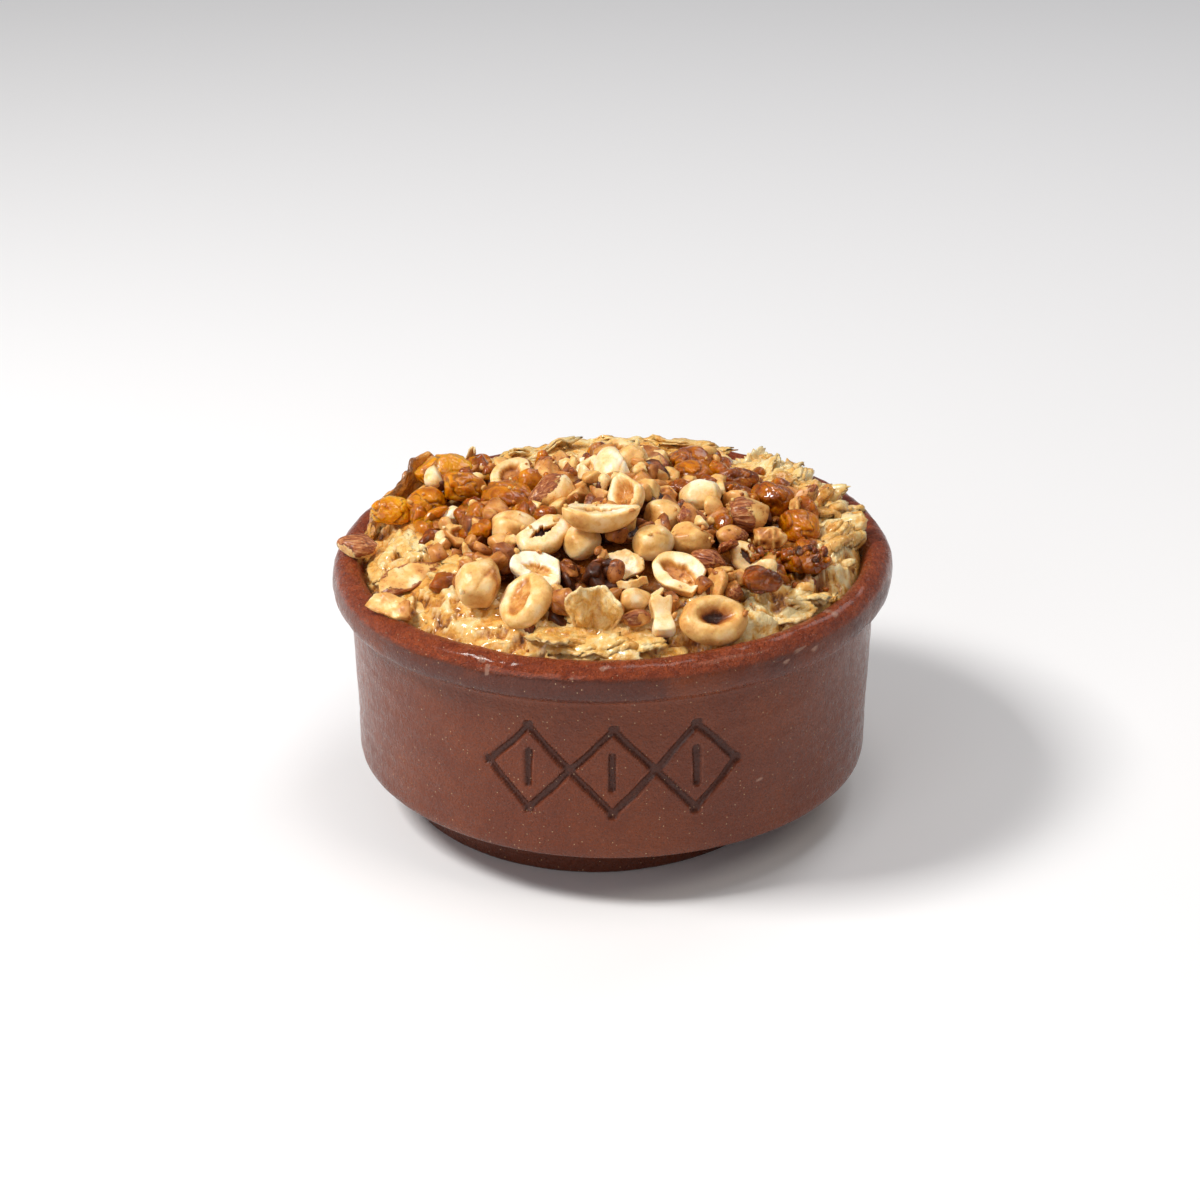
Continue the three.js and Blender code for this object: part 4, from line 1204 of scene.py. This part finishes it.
def waves_and_jags():
    """Maps of the sheets' waves, and of how ragged their outlines are."""
    waves = layered(MAP_POINTS, 8, 51, 3) + 0.9 * ridged(MAP_POINTS * (1, 0.6, 1), 4, 53)
    jags = layered(MAP_POINTS, 3.4, 52, 3) + 0.5 * layered(MAP_POINTS, 1.0, 54, 2)
    return waves.reshape(MAP_X.shape), jags.reshape(MAP_X.shape)


def oval_distance(dx, dy, turn, long, short):
    """Distance from the middle of a turned oval, where 1 is its edge."""
    u = dx * math.cos(turn) + dy * math.sin(turn)
    v = dy * math.cos(turn) - dx * math.sin(turn)
    return np.hypot(u / long, v / short)


def sheet_level(below, highest, dx, dy, wave, raised, draw):
    """Heights of a sheet that leans a little, rests on the places below it and stays under the highest."""
    slope = draw.uniform(0.1, 0.35) * (1 + 0.3 * raised)
    lean = draw.uniform(0, 2 * math.pi)
    rise = slope * (dx * math.cos(lean) + dy * math.sin(lean))
    resting = np.percentile(below, 45) + draw.uniform(0.2, 0.9) + rise + 0.75 * wave
    return np.minimum(resting, highest + draw.uniform(0.6, 1.8) + 1.2 * raised + 0.5 * wave)


def laid_sheets(surface, toppings, ring):
    """Lays torn sheets of pastry over each other like shingles, the largest first.

    Returns maps of their height, their tone, which has painted shadows past their edges, and how near each
    place is to a torn edge.
    """
    draw = np.random.default_rng(SEEDS["sheets"])
    heights = surface - 0.8
    tone = np.full_like(surface, 0.6)
    torn = np.zeros_like(surface)
    waves, jags = waves_and_jags()
    free = widened(np.where(toppings > 0, toppings, FAR), 1.6, np.minimum) - 1.6
    bank = smoothstep(np.abs(MAP_BEARING - BANK_BEARING), 58, 36)
    for i in range(SHEETS):
        half = SHEET_HALF + SHEET_MORE * (1 - i / SHEETS) ** 1.5 * draw.uniform(0.6, 1.1)
        bearing, radius = draw.uniform(0, 2 * math.pi), PUDDING_RADIUS * math.sqrt(draw.uniform(0.36, 1.0))
        x, y = radius * math.cos(bearing), radius * math.sin(bearing)
        near = window(x, y, 1.6 * half)
        dx, dy = MAP_X[near] - x, MAP_Y[near] - y
        turn = bearing + math.pi / 2 + draw.normal() * 0.45
        drift = (int(draw.integers(CELLS)), int(draw.integers(CELLS)))
        wave, jag = (np.roll(drifting, drift, (0, 1))[near] for drifting in (waves, jags))
        away = oval_distance(dx, dy, turn, half, half * draw.uniform(0.28, 0.55)) + 0.22 * jag
        inside = away < 1
        if inside.sum() < SMALLEST_SHEET:
            continue
        raised = bank[near][inside].mean()
        sheet = sheet_level(heights[near][inside], surface[near], dx, dy, wave, raised, draw)
        sheet = np.minimum(sheet, free[near])
        covers = inside & (sheet > heights[near])
        # Cells just past a sheet's edge and lower than it get a darker tone and lose their torn edge: a
        # painted shadow
        shaded = (away >= 1) & (away < 1 + 1.1 / half) & (heights[near] < sheet - 0.35)
        heights[near] = np.where(covers, sheet, heights[near])
        # Sheets on the raised bank are paler: painted light against the shade of its relief
        sheet_tone = draw.uniform(0.25, 0.6) - 0.15 * raised - 0.07 * wave
        tone[near] = np.where(covers, sheet_tone, tone[near] + 0.25 * shaded)
        torn[near] = np.where(covers, smoothstep(away, 1 - 1.4 / half, 1), torn[near] * (1 - shaded))
    return surface + (heights - surface) * ring, tone, torn * ring


SYRUP_X, SYRUP_Y = 42, -25
SYRUP_REACH_X, SYRUP_REACH_Y = 9, 6.5


def syrup_at(x, y):
    """1 where syrup has gathered, at the right of the heap, and 0 elsewhere."""
    return smoothstep(np.hypot((x - SYRUP_X) / SYRUP_REACH_X, (y - SYRUP_Y) / SYRUP_REACH_Y), 1.2, 0.75)


def is_syrupy(spot):
    """Whether syrup lies at this place."""
    return syrup_at(*spot[:2]) > 0.2


HEAP_EDGE = (38, 46)  # radii between which the heap gives way to bare pastry
MORE_AT_FRONT = 4  # how much further out that is at the front


def ring_of_pastry():
    """1 where the pastry is bare, and 0 under the heap."""
    ragged = MAP_RADIUS + 3 * layered(MAP_POINTS, 12, 30).reshape(MAP_RADIUS.shape)
    more = MORE_AT_FRONT * smoothstep(-MAP_Y, 30, 50)
    return smoothstep(ragged, HEAP_EDGE[0] + more, HEAP_EDGE[1] + more)


def pudding_top(radius, angle, heights, ring):
    """Points of the filling's top, how bare the pastry is at each, and how syrupy."""
    top = on_circle(radius, angle, radius * 0)
    bare = read_map(ring, top)
    syrupy = syrup_at(*(top[:, :2] + 1.5 * noise(top, 6, 40)[:, None]).T)
    flow = on_circle(20, angle, radius)
    relief = 0.45 * ridged(flow, 2.4, 34) + 0.16 * layered(top, 1.2, 35) + 0.5 * syrupy * ridged(top, 2.6, 37)
    top[:, 2] = read_map(heights, top) + relief * bare + (1 - bare) * (0.7 * layered(top, 4, 38) - 1.2)
    top[:, 2] -= 0.8 * smoothstep(radius, PUDDING_RADIUS - 3, TOP_RADIUS)
    return top, bare, syrupy


def pudding_shape(heights, tone, torn, ring):
    """The filling: its torn top from the maps, and plain sides and bottom against the dish."""
    columns = PUDDING_COLUMNS
    hidden_radii = np.linspace(3, HIDDEN_RADIUS, 9, endpoint=False)
    radii = np.concatenate([hidden_radii, np.linspace(HIDDEN_RADIUS, TOP_RADIUS, 68)])
    around = np.linspace(0, 2 * math.pi, columns, endpoint=False)
    top, bare, syrupy = pudding_top(
        np.repeat(radii, columns), np.tile(around, len(radii)), heights, ring)
    sides = [on_circle(radius, around, np.full(columns, height)) for radius, height in PUDDING_SIDES]
    points = np.vstack([[[0, 0, top[:columns, 2].mean()]], top, *sides, [[0, 0, FLOOR_TOP]]])
    points[:, :2] = thrown_by_hand(points)[:, :2]
    below = read_map(blurred(heights, 2), top) - top[:, 2]
    # Painted shade darkens the hollows of the top, and painted light makes its crests paler
    shaded_lows, lit_highs = smoothstep(below, 0.1, 1.5), smoothstep(-below, 0.2, 1.2)
    masks = {
        "tone": read_map(tone, top) + 0.22 * shaded_lows - 0.14 * lit_highs,
        # Syrup soaks the syrupy patch; under the heap this darkening is painted shade between the nuts
        "soak_and_shade": np.maximum(1 - bare, 0.8 * syrupy),
        "edge": read_map(torn, top) * bare,
    }
    hidden = np.full(1 + len(sides) * columns, 0.5)
    masks = {name: np.concatenate([[values[0]], values, hidden]) for name, values in masks.items()}
    return points, lathe_faces(len(radii) + len(sides), columns), masks


# ---- Loose leaves of pastry ----

def crumpled(a, b, half, lifted, draw):
    """Heights of a crumpled leaf whose edges droop, and its ripples, crumples and pleats."""
    flat = np.column_stack([half[0] * a.ravel(), half[1] * b.ravel(), a.ravel() * 0]) + draw.uniform(0, 900)
    ripple, crumple = (layered(flat, reach, 5, 2).reshape(a.shape) for reach in (4.5, 1.5))
    pleats = ridged(flat * (0.3, 1, 1), 2.0, 6).reshape(a.shape)
    fold = draw.uniform(-0.4, 0.4) * np.abs(a * math.cos(5 * half[0]) + b * math.sin(5 * half[0]))
    drooping = draw.uniform(0.3, 1.3, 4)
    droop = drooping[0] * np.maximum(0, a) ** 3 + drooping[1] * np.maximum(0, -a) ** 3
    droop += drooping[2] * np.maximum(0, b) ** 3 * (1 - lifted) + drooping[3] * np.maximum(0, -b) ** 3
    heights = 0.9 * ripple + half[1] * fold + 0.2 * crumple + 0.3 * pleats - droop
    return heights, ripple, crumple, pleats


def flake_shape(centre, axes, half, tone, draw, point, layers=1, lifted=0.0):
    """Torn, crumpled leaves of pastry on top of each other, long along the first axis, with their edges down.

    point says how far they taper to a tip, and lifted how far the edge along the second axis stays up.
    """
    rows, columns = 9, 16
    a, b = np.meshgrid(np.linspace(-1, 1, columns), np.linspace(-1, 1, rows))
    rim = np.maximum(np.abs(a), np.abs(b))
    x = a * np.sqrt(1 - b * b / 2.3)
    y = b * np.sqrt(1 - a * a / 2.3) * (1 - point * (a + 1) / 2)
    heights, ripple, crumple, pleats = crumpled(a, b, half, lifted, draw)
    leaves = []
    for layer in range(layers):
        torn = 1 + 0.1 * crumple + (rim > 0.99) * draw.uniform(-0.2, 0.08, a.shape)
        size = half * (1 - 0.13 * layer * draw.uniform(0.4, 1.6))
        shift = half[1] * 0.3 * layer * draw.normal(size=2)
        level = heights + layer * draw.uniform(0.5, 0.8)
        local = np.stack([x * torn * size[0] + shift[0], y * torn * size[1] + shift[1], level], axis=-1)
        points = placed(local.reshape(-1, 3), centre, axes).reshape(rows, columns, 3)
        masks = {
            "tone": tone + 0.1 * ripple - 0.1 * pleats + draw.uniform(-0.08, 0.08),
            "soak_and_shade": np.zeros_like(a),
            "edge": smoothstep(rim, 0.7, 1.0) * draw.uniform(0.2, 0.9),
        }
        leaves.append(sheet_shape(points, draw.uniform(0.45, 0.75), masks))
    return joined(leaves)


def clear_of(toppings, spot, axes, half):
    """Whether a leaf here touches none of the large toppings."""
    reach = np.array([[0, 0], [1, 0.3], [-1, 0.3], [1, -0.3], [-1, -0.3], [0.4, 1.1], [-0.4, -1.1]]) * half
    return read_map(toppings, spot + reach @ axes[:2]).max() <= 0


PAGES_ONLY = (-31, 41)  # bearings between which pages stand and no flakes lie
PAGES_BEARINGS = (-62, 44)
PAGES_RADII = (46, 59)


def pastry_flakes(heights, toppings, ring):
    """Leaves of pastry lying over each other all round, most of them along the rim."""
    draw = np.random.default_rng(SEEDS["flakes"])
    smooth = blurred(heights, 3)
    fall_x, fall_y = (np.gradient(smooth, STEP, axis=axis) for axis in (0, 1))
    shapes = []
    while len(shapes) < FLAKES:
        bearing = draw.uniform(-180, 180)
        radius = PUDDING_RADIUS * math.sqrt(draw.uniform(0.45, 0.96))
        outward = level_direction(bearing)
        sideways = np.cross((0, 0, 1), outward)
        spot = radius * outward
        if read_at(ring, spot) < 0.35 or is_syrupy(spot) or PAGES_ONLY[0] < bearing < PAGES_ONLY[1]:
            continue
        lift = draw.uniform(-0.1, 0.5) * outward + draw.uniform(-0.25, 0.25) * sideways
        slope = np.array([read_at(fall_x, spot), read_at(fall_y, spot), 0])
        axes = turned_to(np.array([0, 0, 1.0]) - slope - lift, 0)
        turn = math.atan2(axes[0] @ outward, axes[0] @ sideways) + draw.normal() * 0.3
        axes = axes_with(axes[0] * math.cos(turn) + axes[1] * math.sin(turn), axes[2])
        long = draw.uniform(4.5, 10)
        half = np.array([long, min(draw.uniform(1.5, 3.3), 2.0 + 0.7 * (RIM_RADIUS - 5 - radius))])
        if not clear_of(toppings, spot, axes, half):
            continue
        spot[2] = read_at(heights, spot) + draw.uniform(-0.5, 0.5)
        layers = int(draw.integers(1, 3))
        lifted = draw.uniform(0, 1)
        shapes.append(flake_shape(spot, axes, half, draw.uniform(0.12, 0.46), draw, 0.0, layers, lifted))
    return joined(shapes + front_leaves(heights, draw))


def page_axes(outward, draw):
    """Axes of a leaf that points outwards and a little up, and leans over sideways."""
    sideways = np.cross((0, 0, 1), outward)
    rise = math.radians(draw.uniform(-10, 35))
    first = outward * math.cos(rise) + np.array([0, 0, math.sin(rise)])
    first = first + sideways * (0.4 + 0.5 * draw.normal())
    first /= np.linalg.norm(first)
    up = np.array([0, 0, 1.0]) + sideways * draw.uniform(-1.6, 0.8)
    normal = up - first * (up @ first)
    return axes_with(first, normal / np.linalg.norm(normal))


def pastry_pages(heights, toppings):
    """The edges of many leaves at the right, fanned out towards the rim like the pages of a book."""
    draw = np.random.default_rng(SEEDS["pages"])
    shapes = []
    while len(shapes) < PAGES:
        bearing = draw.uniform(*PAGES_BEARINGS)
        radius = draw.uniform(*PAGES_RADII)
        outward = level_direction(bearing)
        spot = radius * outward
        if is_syrupy(spot):
            continue
        axes = page_axes(outward, draw)
        long = min(draw.uniform(3.5, 6.5), 3.0 + 0.8 * (RIM_RADIUS - 6 - radius))
        half = np.array([long, long * draw.uniform(0.4, 0.7)])
        if not clear_of(toppings, spot, axes, half):
            continue
        spot[2] = read_at(heights, spot) + draw.uniform(-0.6, 0.8)
        layers = int(draw.integers(1, 4))
        tone, point = draw.uniform(0.1, 0.5), draw.uniform(0.1, 0.7)
        shapes.append(flake_shape(spot, axes, half, tone, draw, point, layers, 1.0))
    return joined(shapes)


# Leaves round the foot of the front flake and of the saddle: x, y, the bearing of their long axis, how far
# they tip back, and half their length.
FRONT_LEAVES = (
    (-10.5, -55.5, 160, 0.5, 5.5), (-15, -54, 140, 0.1, 6), (-4, -57.2, 178, 0.45, 5),
    (2, -56.5, 10, 0.3, 4.6), (8, -56, 5, 0.35, 4.8), (14, -55.5, 20, 0.2, 4.2),
)


def front_leaves(heights, draw):
    """The shapes of FRONT_LEAVES, each lying on the pastry."""
    shapes = []
    for x, y, bearing, lift, long in FRONT_LEAVES:
        spot = np.array([x, y, 0.0])
        spot[2] = read_at(heights, spot) + 0.3
        first = level_direction(bearing)
        normal = np.array([0.1, -0.3 + lift, 1.0])
        second = np.cross(normal, first) / np.linalg.norm(np.cross(normal, first))
        axes = np.array([first, second, np.cross(first, second)])
        shapes.append(flake_shape(spot, axes, np.array([long, 0.55 * long]), 0.34, draw, 0.0, 2))
    return shapes


def left_flap():
    """The flap of crust that stands at the back left, browned along its folds, and a thin strip beside it."""
    along, up = np.meshgrid(np.linspace(0, 1, 64), np.linspace(0, 1, 32))
    flat = np.column_stack([along.ravel() * 24, up.ravel() * 12, up.ravel() * 0])
    ripple, fine = (layered(flat, reach, 61, 3).reshape(up.shape) for reach in (6, 2))
    bearing = np.radians(175 - 31 * along)
    height = (3 + 10 * smoothstep(along, 0, 0.8)) * (1 - 0.6 * smoothstep(along, 0.85, 1))
    height = height * (1 + 0.2 * ripple)
    radius = 62 - 7 * along - 1.5 * up + 1.0 * ripple - 1.0 * np.sin(along * 12 + 2 * up) * up + 0.3 * fine
    level = 62.5 + 4 * along + height * up + 0.3 * fine
    points = on_circle(radius, bearing, level)
    browned = smoothstep(np.abs(along - 0.6 + 0.1 * ripple), 0.25, 0.05)
    masks = {
        "tone": 0.5 + 0.12 * ripple + 0.35 * browned * up + 0.2 * smoothstep(up, 0.85, 1),
        "soak_and_shade": np.zeros_like(up),
        "edge": 0.5 * smoothstep(up, 0.9, 1) * (1 - browned),
    }
    flap = sheet_shape(points, 1.3, masks)
    upright = np.array([[0.2, 0.1, 0.97], [0.97, 0, -0.2], [0, 1, -0.1]])
    middle, half = np.array([-36.0, 31.0, 74.5]), np.array([4.2, 1.4])
    strip = flake_shape(middle, upright, half, 0.2, np.random.default_rng(SEEDS["strip"]), 0.3)
    return joined([flap, strip])


# ---- Small things: chopped bits in the gaps of the heap, and crumbs ----

DARKEST_BIT = 0.84
FULL_TURN = 6.28


def random_pose(half, draw, *ranges):
    """Axes turned at random, and half sizes that are random shares of half, each from its range."""
    axes = turned_to(draw.normal(size=3), draw.uniform(0, FULL_TURN))
    return axes, half * np.array([draw.uniform(*limits) for limits in ranges])


def bit_shape(centre, half, draw, around_roast, skinned, ball_shape):
    """A chopped piece of nut with broken sides all round."""
    unit, faces = ball_shape
    axes, sizes = random_pose(half, draw, (1.1, 1.6), (0.8, 1.1), (0.5, 0.85))
    local, fresh = cut_ball(unit, sizes * 1.25, random_cuts(8, sizes, draw, 0.38, 0.88), 36)
    seed = int(draw.integers(1000))
    local = dents(local, 0.07, 2, seed)
    own = local + draw.uniform(0, 500)
    roast = around_roast + draw.uniform(-0.12, 0.2) + 0.12 * noise(local, 2, seed)
    skin = (1 - 0.6 * fresh) * skinned * smoothstep(noise(local, 3.5, seed + 2), -0.3, 0.1)
    masks = {"own": own, "roast": np.minimum(roast, DARKEST_BIT), "skin": skin}
    return placed(local, centre, axes), faces, masks


def small_sultana_shape(centre, half, draw, darkness, ball_shape):
    """A small sultana, turned at random."""
    unit, faces = ball_shape
    axes, sizes = random_pose(half, draw, (1.1, 1.5), (0.85, 1.05), (0.6, 0.8))
    local, crease = wrinkled(unit, sizes, int(draw.integers(1000)))
    tone = np.full(len(local), darkness + draw.uniform(-0.15, 0.15))
    masks = {"own": local + draw.uniform(0, 500), "tone": tone, "crease": crease}
    return placed(local, centre, axes), faces, masks


def sultana_share(x, y):
    """How often a filler of the heap is a sultana: they lie at the back left and along the right."""
    if x < -16 and y > -9:
        return 0.6
    if x > 24 and y > -30:
        return 0.5
    return 0.07


HEAP_RADIUS = 48
GAP = (-8, -27)  # the shaded hollow in the middle of the heap
GAP_REACH = 9
GAP_DEPTH = 8.5
GAP_SPREAD = 90  # square of the distance over which its sides rise
LARGEST_IN_GAP = 2.4  # half size
MOST_COVERED = 0.35  # share of a bit's place that large toppings may take up
LARGE_BIT = 3.3  # half size from which a bit has a finer mesh
SMALLEST_SULTANA = 1.3  # half size
# Each round of packing: how often it tries, and the smallest and largest half size of its bits.
PACKING = ((3500, 2.9, 4.3), (3000, 2.1, 3.1), (900, 1.3, 2.1))
# Bits at chosen places: middle, half size, how roasted they are, and how much skin they have. The first
# four are dark ones that show, and the others prop up the boat-shaped nut.
CHOSEN_BITS = (
    ((16.4, -47.5, 68.0), 2.7, 0.62, 0.8), ((-19.5, -51.0, 66.5), 2.2, 0.7, 0.8),
    ((33.5, -36.0, 68.5), 2.4, 0.75, 0.8), ((-2.0, -44.0, 66.5), 2.6, 0.7, 0.8),
    ((-1.0, -19.0, 80.5), 3.2, 0.35, 0.1), ((-8.0, -18.5, 79.8), 3.4, 0.5, 0.1),
    ((3.8, -20.5, 79.8), 2.8, 0.42, 0.1), ((-4.0, -16.0, 81.2), 3.2, 0.4, 0.1),
    ((1.4, -24.5, 79.4), 2.8, 0.55, 0.1), ((-12.8, -20.0, 79.0), 2.8, 0.35, 0.1),
    ((-5.5, -21.0, 81.0), 2.8, 0.45, 0.1),
)
PALE_BELOW = 0.4


def filler(centre, half, deep, from_gap, draw):
    """The kind and shape of a bit of the heap. The deeper it lies, the darker it is, as painted shade."""
    ball_shape = CHOPPED_BALL if half > LARGE_BIT else BIT_BALL
    if draw.random() < sultana_share(*centre[:2]) and half > SMALLEST_SULTANA and from_gap > GAP_REACH:
        return "sultana", small_sultana_shape(centre, half * 1.1, draw, 0.5 + 0.3 * deep, ball_shape)
    if draw.random() < 0.64 - 0.5 * deep:
        return "pale", bit_shape(centre, half, draw, 0.28 + 0.3 * deep, 0.1, ball_shape)
    skinned = float(draw.random() < 0.3)
    return "roast", bit_shape(centre, half, draw, 0.46 + 0.3 * deep, skinned, ball_shape)


def fill_heap(surface, toppings):
    """Packs chopped bits and small sultanas into the gaps between the large toppings, large bits first."""
    draw = np.random.default_rng(SEEDS["heap"])
    level = np.maximum(surface - 1.2, toppings)
    envelope = blurred(widened(level, 4.4), 2.4) - 1.2
    kinds = {"pale": [], "roast": [], "sultana": []}
    tries = [sizes for count, *sizes in PACKING for _ in range(count)]
    for smallest, largest in tries:
        bearing, radius = draw.uniform(0, 2 * math.pi), HEAP_RADIUS * math.sqrt(draw.random())
        x, y = radius * math.cos(bearing), radius * math.sin(bearing) - 1
        half = draw.uniform(smallest, largest)
        near = window(x, y, half)
        base = np.percentile(level[near], 30)
        covered = np.mean(toppings[near] > surface[near] + 1.5)
        roof = envelope[window(x, y, 0.1)].mean()
        from_gap = math.hypot(x - GAP[0], y - GAP[1])
        top = roof - GAP_DEPTH * math.exp(-from_gap ** 2 / GAP_SPREAD)
        blocked = covered > MOST_COVERED or base + 1.15 * half > top
        if blocked or (from_gap < GAP_REACH and half > LARGEST_IN_GAP):
            continue
        centre = np.array([x, y, base + 0.3 * half])
        away = np.hypot(MAP_X[near] - x, MAP_Y[near] - y) / half
        dome = centre[2] + 0.75 * half * np.sqrt(np.maximum(0, 1 - away ** 2))
        level[near] = np.where(away < 1, np.maximum(level[near], dome), level[near])
        # Bits lying deeper below the heap's top are darker: painted shade
        kind, shape = filler(centre, half, smoothstep(roof - centre[2], 2.5, 6.5), from_gap, draw)
        kinds[kind].append(shape)
    for centre, half, roast, skinned in CHOSEN_BITS:
        kind = "pale" if roast < PALE_BELOW else "roast"
        kinds[kind].append(bit_shape(np.array(centre), half, draw, roast, skinned, CHOPPED_BALL))
    return kinds


def pulp(heights, toppings):
    """Soft lumps of fruit under the syrup."""
    draw = np.random.default_rng(SEEDS["pulp"])
    level = np.maximum(heights, toppings)
    shapes = []
    while len(shapes) < PULP_LUMPS:
        spot = np.array([draw.uniform(31, 53), draw.uniform(-33, -17), 0])
        if syrup_at(*spot[:2]) < 0.3:
            continue
        half = draw.uniform(0.7, 1.7)
        spot[2] = read_at(level, spot) - 0.1 * half
        shapes.append(small_sultana_shape(spot, half, draw, draw.uniform(0.45, 0.85), CRUMB_BALL))
    return shapes


def crumbs(heights, toppings):
    """Loose crumbs on the pastry and the heap."""
    draw = np.random.default_rng(SEEDS["crumbs"])
    level = np.maximum(heights, toppings)
    shapes = []
    for _ in range(CRUMBS):
        bearing, radius = draw.uniform(0, 2 * math.pi), draw.uniform(20, 59)
        spot = on_circle(radius, bearing, 0)
        half = draw.uniform(0.3, 0.9)
        spot[2] = read_at(level, spot) + 0.3 * half
        shapes.append(bit_shape(spot, half, draw, 0.35, 0.3, CRUMB_BALL))
    return joined(shapes)


ROOTED = ("flake_front", "saddle_front")  # these stand in the pastry, which laps round their feet


def make_food():
    """The toppings, the pudding and its loose leaves, and the small things in between."""
    shapes = make_toppings()
    surface = pudding_map()
    toppings = toppings_map(shapes.values())
    lying = toppings_map([shape for name, shape in shapes.items() if name not in ROOTED])
    ring = ring_of_pastry()
    heights, tone, torn = laid_sheets(surface, lying, ring)
    mesh_piece("pudding_fine", pudding_shape(heights, tone, torn, ring), PASTRY, ["pudding"])
    mesh_piece("pastry_flakes", pastry_flakes(heights, lying, ring), PASTRY)
    mesh_piece("pastry_pages", pastry_pages(heights, lying), PASTRY)
    mesh_piece("pastry_flap", left_flap(), PASTRY)
    kinds = fill_heap(surface, toppings)
    small_sultanas = kinds["sultana"] + pulp(heights, toppings)
    mesh_piece("chopped_hazelnuts", joined(kinds["pale"]), HAZELNUT)
    mesh_piece("chopped_almonds", joined(kinds["roast"]), ALMOND)
    mesh_piece("small_sultanas", joined(small_sultanas), SULTANA)
    mesh_piece("crumbs", crumbs(heights, toppings), ALMOND)


# ---- Stage, lights and camera: lengths here are metres unless a name says otherwise ----

FLOOR_SIZE = 12
FLOOR_COLOUR = (0.9, 0.9, 0.92, 1)
SURROUNDINGS = (0.96, 0.97, 1.0, 1)
SURROUNDINGS_STRENGTH = 0.2
LIGHTS_LOOK_AT = (0, 0, 0.06)
# Each light: its direction from the dish, distance, power in watts, side and tint.
LIGHTS = {
    "key": ((-0.6, -0.16, 0.78), 1.1, 11.0, 0.3, (1, 0.98, 0.94)),
    "fill": ((-0.5, -0.8, 0.35), 1.2, 2.4, 0.6, (1, 1, 1)),
    "above": ((0.14, -0.08, 0.98), 1.1, 2.2, 0.35, (1, 0.98, 0.95)),
    "right": ((0.55, -0.35, 0.75), 1.1, 1.5, 0.4, (1, 0.9, 0.75)),
    "back": ((0.45, 0.6, 0.75), 1.1, 1.8, 0.4, (0.97, 0.98, 1)),
}
CAMERA_ELEVATION = 25.83  # degrees
CAMERA_DISTANCE_MM = 750.5
CAMERA_AIM_MM = (-3.01, 0.0, 50.23)
CAMERA_LENS_MM = 90.7
SENSOR_MM = 36.0
NEAREST_SEEN = 0.01


def make_stage():
    """A pale floor, and an even light from all round."""
    bpy.ops.mesh.primitive_plane_add(size=FLOOR_SIZE)
    floor = bpy.context.object
    floor.name = "floor"
    material, _, shader = new_material("floor", 0.6)
    shader.inputs["Base Color"].default_value = FLOOR_COLOUR
    floor.data.materials.append(material)
    world = bpy.data.worlds.new("world")
    world.use_nodes = True
    background = world.node_tree.nodes["Background"]
    background.inputs["Color"].default_value = SURROUNDINGS
    background.inputs["Strength"].default_value = SURROUNDINGS_STRENGTH
    bpy.context.scene.world = world
    bpy.context.scene.view_settings.view_transform = "Standard"


def make_lights():
    """Square lights that face the dish."""
    for name, (direction, distance, power, side, tint) in LIGHTS.items():
        light = bpy.data.lights.new(name, "AREA")
        light.energy = power
        light.size = side
        light.color = tint
        lamp = bpy.data.objects.new(name, light)
        towards = Vector(direction).normalized()
        lamp.location = Vector(LIGHTS_LOOK_AT) + towards * distance
        lamp.rotation_euler = towards.to_track_quat("Z", "Y").to_euler()
        bpy.context.scene.collection.objects.link(lamp)


def make_camera():
    """The view of the whole dish from the front and above."""
    camera = bpy.data.objects.new("camera", bpy.data.cameras.new("camera"))
    camera.data.lens = CAMERA_LENS_MM
    camera.data.sensor_width = SENSOR_MM
    camera.data.clip_start = NEAREST_SEEN
    tilt = math.radians(CAMERA_ELEVATION)
    back = Vector((0, -math.cos(tilt), math.sin(tilt))) * CAMERA_DISTANCE_MM * MM
    camera.location = Vector(CAMERA_AIM_MM) * MM + back
    camera.rotation_euler = (-back).to_track_quat("-Z", "Y").to_euler()
    bpy.context.scene.collection.objects.link(camera)
    bpy.context.scene.camera = camera


make_camera()
make_stage()
make_lights()
mesh_piece("bowl_fine", bowl_shape(), GLAZE, ["bowl"])
make_food()
